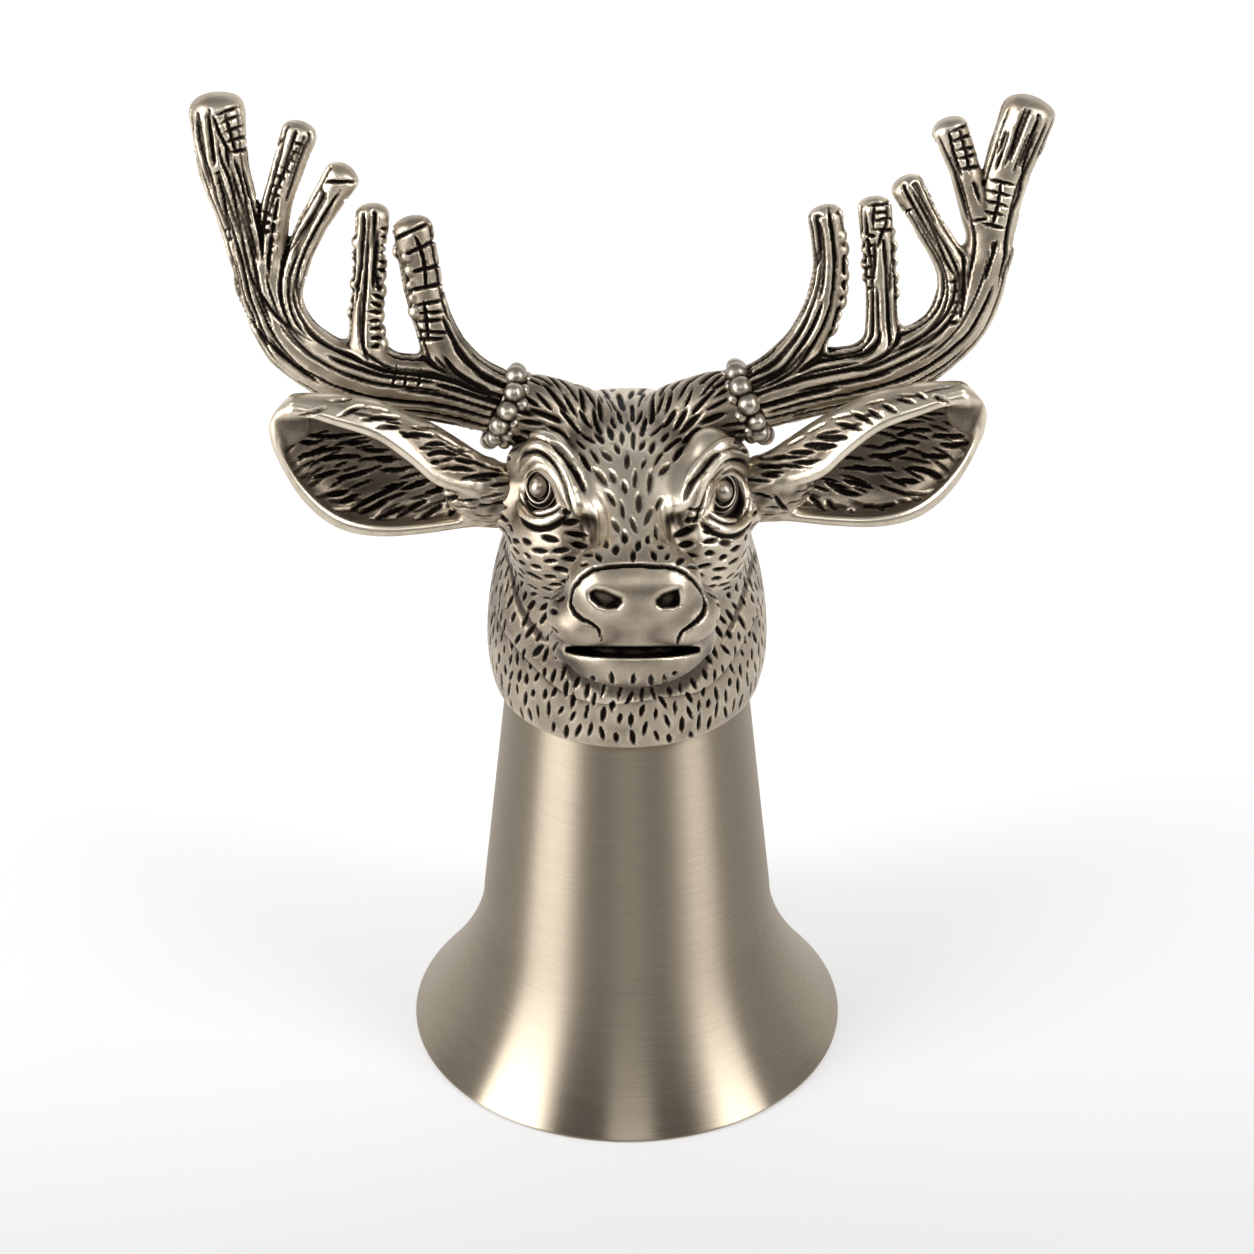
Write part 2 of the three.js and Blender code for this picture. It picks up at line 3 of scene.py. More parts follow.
import bpy
import numpy as np
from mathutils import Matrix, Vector


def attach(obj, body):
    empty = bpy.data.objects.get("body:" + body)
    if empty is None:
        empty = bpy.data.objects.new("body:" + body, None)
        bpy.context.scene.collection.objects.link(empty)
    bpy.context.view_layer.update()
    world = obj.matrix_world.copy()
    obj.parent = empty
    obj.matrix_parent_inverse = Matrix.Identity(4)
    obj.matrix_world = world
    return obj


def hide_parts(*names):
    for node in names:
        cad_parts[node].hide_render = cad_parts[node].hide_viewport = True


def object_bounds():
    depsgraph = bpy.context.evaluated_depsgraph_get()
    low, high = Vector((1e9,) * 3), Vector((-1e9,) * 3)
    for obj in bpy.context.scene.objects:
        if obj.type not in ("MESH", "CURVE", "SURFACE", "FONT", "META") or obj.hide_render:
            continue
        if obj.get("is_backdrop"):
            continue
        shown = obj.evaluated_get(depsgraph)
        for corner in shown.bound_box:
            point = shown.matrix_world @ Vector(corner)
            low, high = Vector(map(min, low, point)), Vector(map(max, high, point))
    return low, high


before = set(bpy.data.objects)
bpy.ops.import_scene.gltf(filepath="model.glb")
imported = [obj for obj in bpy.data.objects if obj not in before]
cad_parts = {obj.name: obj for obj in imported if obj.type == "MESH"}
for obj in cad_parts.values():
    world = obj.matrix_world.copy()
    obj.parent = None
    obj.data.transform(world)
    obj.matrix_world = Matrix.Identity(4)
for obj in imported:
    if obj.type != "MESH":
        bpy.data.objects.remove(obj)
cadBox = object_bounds()
millimetre = 0.001
draws = np.random.default_rng(11)
leftAndRight = (("left", -1), ("right", 1))  # as the viewer sees them


# Camera

view = {
    "azimuth": -2.0,  # degrees, a little to the stag's right
    "elevation": 34.61,
    "distance": 700.0,  # mm
    "aimHeight": 58.76,
    "lens": 166.0,
    "sensor": 36.0,
}


def unit(v):
    v = np.asarray(v, float)
    return v / np.linalg.norm(v)


def aimed(thing, place, target):
    thing.location = place
    sight = Vector([b - a for a, b in zip(place, target)])
    thing.rotation_euler = sight.to_track_quat("-Z", "Y").to_euler()


turn, rise = math.radians(view["azimuth"]), math.radians(view["elevation"])
sightBack = np.array([math.sin(turn) * math.cos(rise), -math.cos(turn) * math.cos(rise), math.sin(rise)])
sightRight = unit(np.cross((0, 0, 1), sightBack))
sightUp = np.cross(sightBack, sightRight)
aimPoint = np.array([0, 0, view["aimHeight"]])
eyePoint = aimPoint + sightBack * view["distance"]

cameraData = bpy.data.cameras.new("photoCamera")
cameraData.lens = view["lens"]
cameraData.sensor_width = view["sensor"]
camera = bpy.data.objects.new("photoCamera", cameraData)
bpy.context.scene.collection.objects.link(camera)
aimed(camera, tuple(eyePoint * millimetre), tuple(aimPoint * millimetre))
bpy.context.scene.camera = camera
bpy.context.scene.view_settings.view_transform = "Standard"


# Floor, lamps and studio

def linear(hexColour):
    channels = [int(hexColour[i : i + 2], 16) / 255 for i in (1, 3, 5)]
    return [c / 12.92 if c <= 0.04045 else ((c + 0.055) / 1.055) ** 2.4 for c in channels] + [1.0]


def node(tree, kind, settings=None, links=None):
    made = tree.nodes.new(kind)
    for key, value in (settings or {}).items():
        if isinstance(key, int) or key in made.inputs:
            made.inputs[key].default_value = value
        else:
            setattr(made, key, value)
    for key, source in (links or {}).items():
        tree.links.new(source, made.inputs[key])
    return made


def ramp(tree, value, stops):
    made = node(tree, "ShaderNodeValToRGB", links={0: value})
    elements = made.color_ramp.elements
    while len(elements) < len(stops):
        elements.new(0.5)
    for element, (place, colour) in zip(elements, stops):
        element.position, element.color = place, colour
    return made


lamps = {
    "left": {"place": (-0.72, -0.36, 0.36), "size": (0.5, 0.7), "power": 7.7},
    "right": {"place": (0.68, -0.4, 0.55), "size": (0.38, 0.7), "power": 5.0},
    "front": {"place": (0.0, -0.74, 0.75), "size": (0.34, 0.24), "power": 1.1},
}
lampAim = (0, 0, 0.06)
for name, lamp in lamps.items():
    data = bpy.data.lights.new("softbox_" + name, "AREA")
    data.shape = "RECTANGLE"
    data.size, data.size_y = lamp["size"]
    data.energy = lamp["power"]
    softbox = bpy.data.objects.new("softbox_" + name, data)
    bpy.context.scene.collection.objects.link(softbox)
    aimed(softbox, lamp["place"], lampAim)

# A dark room where the camera stands and a bright wall behind the piece: the metal shows both.
studio = {
    "level": 1.12,
    "behind": 1.0,  # this and the next three are shares of that level
    "sides": 0.3,
    "front": 0.03,
    "ceiling": 0.25,
    "frontAt": (-0.03, -0.95, 0.3),
    "turns": (0.12, 0.4, 0.75, 0.93),  # from behind to the front: where each wall begins and ends
    "ceilingFrom": 0.45,  # sines of the heights between which the walls turn into the ceiling
    "ceilingTo": 0.9,
}
world = bpy.data.worlds.new("studio")
bpy.context.scene.world = world
world.use_nodes = True
sky = world.node_tree
sky.nodes.clear()
towards = node(sky, "ShaderNodeTexCoord").outputs["Generated"]
front = {"operation": "DOT_PRODUCT", 1: unit(studio["frontAt"])}
facing = node(sky, "ShaderNodeVectorMath", front, {0: towards}).outputs["Value"]
around = node(sky, "ShaderNodeMath", {"operation": "MULTIPLY_ADD", 1: 0.5, 2: 0.5}, {0: facing})
grey = {part: [studio[part]] * 3 + [1.0] for part in ("behind", "sides", "front", "ceiling")}
tones = [grey[part] for part in ("behind", "sides", "sides", "front")]
walls = ramp(sky, around.outputs[0], list(zip(studio["turns"], tones)))
height = node(sky, "ShaderNodeSeparateXYZ", links={0: towards}).outputs["Z"]
ends = {"From Min": studio["ceilingFrom"], "From Max": studio["ceilingTo"]}
up = node(sky, "ShaderNodeMapRange", ends, {"Value": height})
overhead = {"data_type": "RGBA", 7: grey["ceiling"]}
lit = node(sky, "ShaderNodeMix", overhead, {0: up.outputs[0], 6: walls.outputs[0]})
ambient = node(sky, "ShaderNodeBackground", {"Strength": studio["level"]}, {"Color": lit.outputs[2]})
node(sky, "ShaderNodeOutputWorld", links={"Surface": ambient.outputs[0]})

# White paper. The camera and the metal see it lifted to white, more so towards the back;
# it lights the piece only by its own grey, and it takes the piece's shadow.
sweep = {
    "size": 4.0,
    "paper": "#c4c4c4",
    "lift": 0.28,
    "farLift": 0.6,
    "near": -0.045,  # metres behind the axis, where the lift starts to grow
    "far": 0.06,
    "below": 0.00005,  # under the lip, so that the two don't flicker
}
reach = sweep["size"] / 2
corners = [(-reach, -reach, 0), (reach, -reach, 0), (reach, reach, 0), (-reach, reach, 0)]
floorMesh = bpy.data.meshes.new("floor")
floorMesh.from_pydata(corners, [], [(0, 1, 2, 3)])
floor = bpy.data.objects.new("floor", floorMesh)
bpy.context.scene.collection.objects.link(floor)
floor.location.z = cadBox[0][2] - sweep["below"]
floor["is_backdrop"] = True
paper = bpy.data.materials.new("whitePaperSweep")
paper.use_nodes = True
tree = paper.node_tree
tree.nodes.clear()
matte = node(tree, "ShaderNodeBsdfDiffuse", {"Color": linear(sweep["paper"])}).outputs[0]
where = node(tree, "ShaderNodeTexCoord").outputs["Object"]
back = node(tree, "ShaderNodeSeparateXYZ", links={0: where}).outputs["Y"]
ends = {"From Min": sweep["near"], "From Max": sweep["far"]}
ends.update({"To Min": sweep["lift"], "To Max": sweep["farLift"]})
strength = node(tree, "ShaderNodeMapRange", ends, {"Value": back})
glow = node(tree, "ShaderNodeEmission", {"Color": (1, 1, 1, 1)}, {"Strength": strength.outputs[0]})
path = node(tree, "ShaderNodeLightPath").outputs
either = {0: path["Is Camera Ray"], 1: path["Is Glossy Ray"]}
lookedAt = node(tree, "ShaderNodeMath", {"operation": "MAXIMUM"}, either).outputs[0]
lifted = node(tree, "ShaderNodeAddShader", links={0: matte, 1: glow.outputs[0]}).outputs[0]
mixed = node(tree, "ShaderNodeMixShader", links={0: lookedAt, 1: matte, 2: lifted})
node(tree, "ShaderNodeOutputMaterial", links={"Surface": mixed.outputs[0]})
floorMesh.materials.append(paper)
print("camera, floor and lamps are set")


# Modelling clay: each shape gives about how far a point lies outside it

def dot(a, b):
    return np.einsum("ij,ij->i", a, b)


def blend(a, b, softness):
    h = np.maximum(softness - np.abs(a - b), 0) / softness
    return np.minimum(a, b) - h * h * softness / 4


def cutFrom(a, b, softness):
    return -blend(-a, b, softness)


def ball(p, centre, radii):
    d = p - np.array(centre)
    r = np.array(radii, float)
    k = np.sqrt(dot(d / r, d / r))
    g = np.sqrt(dot(d / (r * r), d / (r * r)))
    return k * (k - 1) / np.maximum(g, 1e-6)


def rod(p, start, startRadius, end, endRadius):
    a = np.array(start, float)
    along = np.array(end, float) - a
    d = p - a
    t = np.clip(d @ along / max(along @ along, 1e-9), 0, 1)
    d = d - t[:, None] * along
    return np.sqrt(dot(d, d)) - (startRadius + (endRadius - startRadius) * t)


def block(p, centre, halfSize, rounding):
    d = np.abs(p - np.array(centre)) - np.array(halfSize) + rounding
    outside = np.maximum(d, 0)
    return np.sqrt(dot(outside, outside)) + np.minimum(d.max(axis=1), 0) - rounding


# A smooth line through (t, value) pairs
def curve(pairs, t):
    x, y = np.array(pairs, float).T
    slope = np.gradient(y, x)
    k = np.clip(np.searchsorted(x, t, side="right") - 1, 0, len(x) - 2)
    w = x[k + 1] - x[k]
    s = np.clip((t - x[k]) / w, 0, 1)
    a, b = y[k], y[k + 1]
    return (
        a * (1 + 2 * s) * (1 - s) ** 2
        + b * s * s * (3 - 2 * s)
        + w * (slope[k] * s * (1 - s) ** 2 - slope[k + 1] * s * s * (1 - s))
    )


def ease(x, low, high):
    t = np.clip((x - low) / (high - low), 0, 1)
    return t * t * (3 - 2 * t)


# Gentle unevenness between -1 and 1, as fingers and tools leave it in wax
def lumps(p, size):
    total = 0
    for k, (a, b, c) in enumerate(((1, 0.7, -0.4), (-0.5, 1, 0.8), (0.6, -0.9, 1))):
        total = total + np.sin((a * p[:, 0] + b * p[:, 1] + c * p[:, 2]) * 2 * np.pi / size / 1.3 + 2 * k)
    return total / 3


# How far points of a plane lie outside a closed outline; below 0 inside
def gapTo(q, outline):
    nearest = np.full(len(q), 1e9)
    inside = np.zeros(len(q), bool)
    for a, b in zip(outline, np.roll(outline, -1, axis=0)):
        e = b - a
        d = q - a
        t = np.clip(d @ e / (e @ e), 0, 1)
        off = d - t[:, None] * e
        nearest = np.minimum(nearest, dot(off, off))
        crosses = (a[1] > q[:, 1]) != (b[1] > q[:, 1])
        with np.errstate(divide="ignore", invalid="ignore"):
            inside ^= crosses & (d[:, 0] < e[0] * d[:, 1] / e[1])
    return np.sqrt(nearest) * np.where(inside, -1, 1)


def slopeOf(field, p, reach=0.02):
    slope = np.empty_like(p)
    for axis in range(3):
        shift = np.zeros(3)
        shift[axis] = reach
        slope[:, axis] = (field(p + shift) - field(p - shift)) / (2 * reach)
    return slope


def ontoSkin(field, p, rounds=2):
    for _ in range(rounds):
        slope = slopeOf(field, p)
        step = field(p) / np.maximum(dot(slope, slope), 0.1)
        p = p - slope * np.clip(step, -0.6, 0.6)[:, None]
    return p


def outwards(field, p):
    slope = slopeOf(field, p)
    return slope / np.maximum(np.sqrt(dot(slope, slope)), 1e-6)[:, None]


# Quads through the grid cells that the clay's surface passes
def skinOf(field, low, high, step):
    counts = [int(math.ceil((h - l) / step)) + 1 for l, h in zip(low, high)]
    axes = [low[k] + step * np.arange(counts[k]) for k in range(3)]
    values = np.empty(counts)
    for i, x in enumerate(axes[0]):
        sheet = np.stack(np.meshgrid([x], axes[1], axes[2], indexing="ij"), -1).reshape(-1, 3)
        values[i] = field(sheet).reshape(counts[1], counts[2])
    inside = values < 0
    cells = [n - 1 for n in counts]
    corners = [(i, j, k) for i in (0, 1) for j in (0, 1) for k in (0, 1)]
    total = np.zeros(cells, int)
    for i, j, k in corners:
        total += inside[i : i + cells[0], j : j + cells[1], k : k + cells[2]]
    at = np.argwhere((total > 0) & (total < 8))
    number = -np.ones(cells, int)
    number[tuple(at.T)] = np.arange(len(at))
    spot = np.zeros((len(at), 3))
    crossings = np.zeros(len(at))
    for corner in corners:
        for axis in range(3):
            if corner[axis]:
                continue
            other = list(corner)
            other[axis] = 1
            a = values[tuple((at + corner).T)]
            b = values[tuple((at + other).T)]
            cut = (a < 0) != (b < 0)
            place = np.tile(np.array(corner, float), (len(at), 1))
            place[:, axis] += np.where(cut, a / np.where(cut, a - b, 1), 0)
            spot += place * cut[:, None]
            crossings += cut
    spot = (at + spot / crossings[:, None]) * step + np.array(low)
    quads = []
    for axis in range(3):
        u, v = [k for k in range(3) if k != axis]
        first, second = [slice(None)] * 3, [slice(None)] * 3
        first[axis], second[axis] = slice(0, -1), slice(1, None)
        start, end = inside[tuple(first)], inside[tuple(second)]
        for leaving, where in ((True, start & ~end), (False, ~start & end)):
            edge = np.argwhere(where)
            for axisAcross in (u, v):
                edge = edge[(edge[:, axisAcross] > 0) & (edge[:, axisAcross] < cells[axisAcross])]
            ring = []
            for du, dv in ((1, 1), (0, 1), (0, 0), (1, 0)):
                cell = edge.copy()
                cell[:, u] -= du
                cell[:, v] -= dv
                ring.append(number[tuple(cell.T)])
            ring = np.stack(ring, 1)
            quads.append(ring[:, ::-1] if leaving == (axis == 1) else ring)
    return spot, np.concatenate(quads)


# Each quad into four
def split(points, quads):
    n = len(points)
    edges = np.sort(np.stack([quads, np.roll(quads, -1, axis=1)], -1).reshape(-1, 2), axis=1)
    unique, which = np.unique(edges[:, 0] * n + edges[:, 1], return_inverse=True)
    which = which.reshape(-1, 4)
    middles = (points[unique // n] + points[unique % n]) / 2
    centres = points[quads].mean(axis=1)
    middle = n + which
    centre = n + len(unique) + np.arange(len(quads))
    smaller = [np.stack([quads[:, k], middle[:, k], centre, middle[:, k - 1]], 1) for k in range(4)]
    return np.concatenate([points, middles, centres]), np.concatenate(smaller)


def moulded(field, low, high, step):
    points, quads = skinOf(field, low, high, step)
    points, quads = split(ontoSkin(field, points), quads)
    points = ontoSkin(field, points, 1)
    return points, outwards(field, points), quads


# Engraving

# A smooth line through the given points
def eased(line, step=0.5):
    line = np.asarray(line, float)
    padded = np.vstack([2 * line[0] - line[1], line, 2 * line[-1] - line[-2]])
    parts = []
    for a, b, c, d in zip(padded, padded[1:], padded[2:], padded[3:]):
        n = max(1, int(np.ceil(np.linalg.norm(c - b) / step)))
        t = np.linspace(0, 1, n, endpoint=False)[:, None]
        bend = (2 * a - 5 * b + 4 * c - d) * t**2 + (3 * b - a - 3 * c + d) * t**3
        parts.append(0.5 * (2 * b + (c - a) * t + bend))
    return np.vstack(parts + [line[-1:]])


# Lines of sight to points drawn on the plane through the aim point, in mm
def raysTo(drawn):
    return aimPoint + drawn[:, :1] * sightRight + drawn[:, 1:] * sightUp - eyePoint


# Drawn points carried along the lines of sight to the clay
def onSight(drawn, field, behind=False, near=630.0, far=740.0):
    rays = raysTo(np.asarray(drawn, float))
    rays /=np.linalg.norm(rays, axis=1)[:, None]
    steps = np.arange(near, far, 0.25)
    steps = steps[::-1] if behind else steps
    p = eyePoint + rays[:, None] * steps[None, :, None]
    values = field(p.reshape(-1, 3)).reshape(len(drawn), -1)
    first = (values < 0).argmax(axis=1)
    missed = ~(values < 0).any(axis=1)
    first[missed] = values[missed].argmin(axis=1)
    return ontoSkin(field, p[np.arange(len(drawn)), first])


# Lines drawn as the camera sees them, as strokes of a graver on the clay
def drawnOn(field, lines, width, depth, behind=False):
    flat = [eased(line) for line in lines]
    solid = onSight(np.vstack(flat), field, behind)
    ends = np.cumsum([len(line) for line in flat])[:-1]
    return [(line, width, depth) for line in np.split(solid, ends)]


# Short lines across a line, a gap apart
def rungs(centreLine, half, gap):
    line = eased(centreLine, 0.1)
    done = np.concatenate([[0], np.cumsum(np.linalg.norm(np.diff(line, axis=0), axis=1))])
    made = []
    for at in np.arange(0.1, done[-1], gap):
        k = min(np.searchsorted(done, at), len(line) - 2)
        along = unit(line[k + 1] - line[max(k - 1, 0)])
        side = np.array([-along[1], along[0]]) * half
        wobble = draws.normal(0, 0.12, 2) * half
        made.append([line[k] - side, line[k] + wobble * 0.5, line[k] + side + wobble])
    return made


# Picks points for marks, spaced across and along the flow
def strewn(points, normals, flow, across, along, order, most=30000):
    keep = np.argsort(order)
    if len(keep) > most:
        keep = np.sort(draws.choice(len(keep), most, replace=False))
        keep = np.argsort(order)[keep]
    p, n, t = points[keep], normals[keep], flow[keep]
    side = np.cross(n, t)
    wide, long = across[keep], along[keep]
    free = np.ones(len(keep), bool)
    chosen = []
    for i in range(len(keep)):
        if not free[i]:
            continue
        chosen.append(keep[i])
        d = p - p[i]
        apart = (d @ t[i] / long[i]) ** 2 + (d @ side[i] / wide[i]) ** 2 + (d @ n[i] / 2.0) ** 2
        free &= apart > 1
    return np.array(chosen)


# Strokes that follow the flow both ways from their starts, some of them a little astray
def combed(starts, field, flowAt, lengths, steps, astray=0.0):
    halves = []
    turns = draws.normal(0, astray, (len(starts), 1))
    for way in (-1, 1):
        p, trail = starts, []
        before = None
        for _ in range(steps):
            n = outwards(field, p)
            t = flowAt(p, n)
            t = t * np.cos(turns) + np.cross(n, t) * np.sin(turns)
            if before is not None:
                t = t * np.where(dot(t, before) < 0, -1, 1)[:, None]
            before = t
            p = ontoSkin(field, p + way * t * (lengths / 2 / steps)[:, None], 1)
            trail.append(p)
        halves.append(trail)
    return np.stack(halves[0][::-1] + [starts] + halves[1], 1)


def alongSkin(d, n):
    d = d - dot(d, n)[:, None] * n
    return d / np.maximum(np.sqrt(dot(d, d)), 1e-6)[:, None]


# Cuts the strokes into the skin: depth above 0 is a groove, below 0 a raised line
def engraved(points, normals, strokes):
    groove, ridge, lip = np.zeros(len(points)), np.zeros(len(points)), np.zeros(len(points))
    order = np.argsort(points[:, 2])
    heights = points[order, 2]
    for line, width, depth in strokes:
        margin = 1.8 * width
        low, high = line.min(axis=0) - margin, line.max(axis=0) + margin
        near = order[np.searchsorted(heights, low[2]) : np.searchsorted(heights, high[2])]
        p = points[near]
        near = near[((p[:, :2] > low[:2]) & (p[:, :2] < high[:2])).all(axis=1)]
        if not len(near):
            continue
        p = points[near]
        lengths = np.linalg.norm(np.diff(line, axis=0), axis=1)
        point = 2.2 if lengths.sum() < 4 else 6  # short marks are leaf shaped, long ones even
        done = np.concatenate([[0], np.cumsum(lengths)])
        away, share = np.full(len(near), 1e9), np.zeros(len(near))
        for k, (a, b) in enumerate(zip(line, line[1:])):
            e = b - a
            d = p - a
            t = np.clip(d @ e / max(e @ e, 1e-9), 0, 1)
            off = d - t[:, None] * e
            off = dot(off, off)
            closer = off < away
            away = np.where(closer, off, away)
            share = np.where(closer, (done[k] + t * lengths[k]) / max(done[-1], 1e-9), share)
        taper = np.clip(1 - np.abs(2 * share - 1) ** point, 0.15, 1) ** 0.6
        x = np.sqrt(away) / (width * taper)
        hollow = np.clip(1.25 - 1.25 * x * x, 0, 1)
        if depth > 0:
            groove[near] = np.maximum(groove[near], depth * taper * hollow)
            lip[near] = np.maximum(lip[near], 0.05 * depth * np.clip(1 - ((x - 1.35) / 0.4) ** 2, 0, 1))
        else:
            ridge[near] = np.maximum(ridge[near], -depth * taper * hollow * (2 - hollow))
    lip *= np.clip(1 - groove / 0.05, 0, 1)
    return points + normals * (ridge + lip - groove)[:, None], groove


# Above 0 in hollows and below 0 on crests, from how the skin differs from smoothed copies of it:
# each scale is how many rounds of smoothing, and how much that copy counts
def hollows(points, quads, normals, scales=((3, 1.4), (10, 1.0), (40, 0.9))):
    n = len(points)
    a, b = quads.ravel(), np.roll(quads, -1, axis=1).ravel()
    degree = np.bincount(a, minlength=n) + np.bincount(b, minlength=n)
    smooth = points.copy()
    hollow = np.zeros(n)
    for rounds, gain in scales:
        for _ in range(rounds):
            total = [np.bincount(a, smooth[b, k], n) + np.bincount(b, smooth[a, k], n) for k in range(3)]
            smooth = 0.3 * smooth + 0.7 * np.stack(total, 1) / degree[:, None]
        hollow += gain * dot(smooth - points, normals)
    return np.where(hollow < 0, 0.6 * hollow, hollow)


mostTriangles = 198000  # in one piece


# A mesh that takes the place of a CAD piece; with "most" it keeps to that many triangles
def piece(name, points, quads, finish, slot, replaced, patinaAndPaintedShading=None, most=None):
    mesh = bpy.data.meshes.new(name)
    faces = quads.tolist() if hasattr(quads, "tolist") else quads
    mesh.from_pydata((points * millimetre).tolist(), [], faces)
    mesh.polygons.foreach_set("use_smooth", np.ones(len(mesh.polygons), bool))
    # the attribute holds the blacking, and on some pieces painted light and shade as well
    if patinaAndPaintedShading is not None:
        layer = mesh.attributes.new("patinaAndPaintedShading", "FLOAT", "POINT")
        layer.data.foreach_set("value", patinaAndPaintedShading.astype(np.float32))
    mesh.materials.append(finish)
    made = bpy.data.objects.new(name, mesh)
    bpy.context.scene.collection.objects.link(made)
    if most and 2 * len(quads) > most:
        fewer = made.modifiers.new("fewerTriangles", "DECIMATE")
        fewer.ratio = most / (2 * len(quads))
    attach(made, "root")
    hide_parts(replaced)
    print(name, len(quads), "quads")


# Finishes

def metalOf(name):
    material = bpy.data.materials.new(name)
    material.use_nodes = True
    material.node_tree.nodes["Principled BSDF"].inputs["Metallic"].default_value = 1.0
    return material, material.node_tree, material.node_tree.nodes["Principled BSDF"]


def pewterOf(name, look):
    material, tree, shader = metalOf(name)
    where = node(tree, "ShaderNodeTexCoord").outputs["Object"]
    # this attribute darkens and lightens the metal: the blacking, with painted light and shade mixed in on
    # some pieces
    patinaAndPaintedShading = node(tree, "ShaderNodeAttribute", {"attribute_name": "patinaAndPaintedShading"}).outputs["Fac"]
    made = []
    for pattern, detail in (("mottle", 5.0), ("grain", 2.0)):
        size = {"Scale": 1 / (look[pattern] * millimetre), "Detail": detail}
        made.append(node(tree, "ShaderNodeTexNoise", size, {"Vector": where}))
    mottle, grain = made
    half = -look["stain"] / 2, -look["speck"] / 2  # so that each pattern adds as much as it takes
    stain = {"operation": "MULTIPLY_ADD", 1: look["stain"], 2: half[0]}
    stain = node(tree, "ShaderNodeMath", stain, {0: mottle.outputs[0]}).outputs[0]
    speck = {"operation": "MULTIPLY_ADD", 1: look["speck"], 2: half[1]}
    speck = node(tree, "ShaderNodeMath", speck, {0: grain.outputs[0]}).outputs[0]
    uneven = node(tree, "ShaderNodeMath", {"operation": "ADD"}, {0: stain, 1: speck}).outputs[0]
    black = node(tree, "ShaderNodeMath", {"operation": "ADD", "use_clamp": True}, {0: patinaAndPaintedShading, 1: uneven})
    stops = [(0.0, "bright"), (0.3, "rubbed"), (0.6, "dull"), (0.95, "blacking")]
    tones = ramp(tree, black.outputs[0], [(place, linear(look[tone])) for place, tone in stops])
    ends = {"To Min": look["rubbedRoughness"], "To Max": look["blackRoughness"]}
    rough = node(tree, "ShaderNodeMapRange", ends, {"Value": black.outputs[0]})
    height = {"Strength": 0.2, "Distance": look["grainHeight"] * millimetre}
    bump = node(tree, "ShaderNodeBump", height, {"Height": grain.outputs[0]})
    tree.links.new(tones.outputs[0], shader.inputs["Base Color"])
    tree.links.new(rough.outputs[0], shader.inputs["Roughness"])
    tree.links.new(bump.outputs[0], shader.inputs["Normal"])
    return material


# Cast pewter, blackened and rubbed back: near black in the hollows, warm grey on the open skin and
# bright on the crests that a hand has rubbed, with a faint sandy grain from the mould.
pewterLook = {
    "bright": "#eadeca",
    "rubbed": "#b2a593",
    "dull": "#61574c",
    "blacking": "#15110e",
    "rubbedRoughness": 0.34,
    "blackRoughness": 0.55,
    "grain": 0.22,  # mm, as a fine sand or plaster mould leaves it
    "grainHeight": 0.04,  # mm
    "mottle": 2.5,  # mm, the patches that a cloth leaves
    "stain": 0.3,  # how far mottle and grain change the patina
    "speck": 0.16,
}
pewter = pewterOf("antiquedPewterCast", pewterLook), "antiqued_pewter"  # with its slot
# The same metal where it has been rubbed brighter: beads and eyeballs.
brighter = {"rubbed": "#bcb3a5", "rubbedRoughness": 0.28}
brightPewter = pewterOf("rubbedPewterCast", {**pewterLook, **brighter}), "rubbed_pewter"

# Stainless steel, spun and brushed round its axis: fine rings, and lights drawn out up and down.
# The flared foot has been buffed after the brushing, so it takes sharper and brighter lights.
steelLook = {
    "bright": "#beb19e",
    "dull": "#908576",
    "roughness": 0.43,
    "lipRoughness": 0.23,
    "buffedTo": 16.0,  # mm up from the lip
    "uneven": 0.14,
    "brushLine": 0.16,  # mm, drawn coarser than the real 0.05 so that it shows
    "lineDepth": 0.02,  # mm
    "drawnOut": 0.03,  # the lines are this much finer up the bell than round it
    "anisotropy": 0.97,
    "turned": 0.25,  # a quarter turn, so that lights are drawn out across the brushing
}
steel, tree, shader = metalOf("brushedSteelSpun")
where = node(tree, "ShaderNodeTexCoord").outputs["Object"]
along = {"Scale": (steelLook["drawnOut"], steelLook["drawnOut"], 1.0)}
stretched = node(tree, "ShaderNodeMapping", along, {"Vector": where})
scratch = {"Scale": 1 / (steelLook["brushLine"] * millimetre), "Detail": 4.0, "Roughness": 0.7}
lines = node(tree, "ShaderNodeTexNoise", scratch, {"Vector": stretched.outputs[0]})
ends = {"data_type": "RGBA", 6: linear(steelLook["dull"]), 7: linear(steelLook["bright"])}
tone = node(tree, "ShaderNodeMix", ends, {0: lines.outputs[0]})
upTheBell = node(tree, "ShaderNodeSeparateXYZ", links={0: where}).outputs["Z"]
ends = {"To Min": steelLook["lipRoughness"], "To Max": steelLook["roughness"]}
ends["From Max"] = steelLook["buffedTo"] * millimetre
buffed = node(tree, "ShaderNodeMapRange", ends, {"Value": upTheBell}).outputs[0]
uneven = {"operation": "MULTIPLY_ADD", 1: steelLook["uneven"]}
rough = node(tree, "ShaderNodeMath", uneven, {0: lines.outputs[0], 2: buffed})
height = {"Strength": 0.2, "Distance": steelLook["lineDepth"] * millimetre}
bump = node(tree, "ShaderNodeBump", height, {"Height": lines.outputs[0]})
ringwise = node(tree, "ShaderNodeTangent", {"direction_type": "RADIAL", "axis": "Z"})
shader.inputs["Anisotropic"].default_value = steelLook["anisotropy"]
shader.inputs["Anisotropic Rotation"].default_value = steelLook["turned"]
tree.links.new(tone.outputs[2], shader.inputs["Base Color"])
tree.links.new(rough.outputs[0], shader.inputs["Roughness"])
tree.links.new(bump.outputs[0], shader.inputs["Normal"])
tree.links.new(ringwise.outputs[0], shader.inputs["Tangent"])

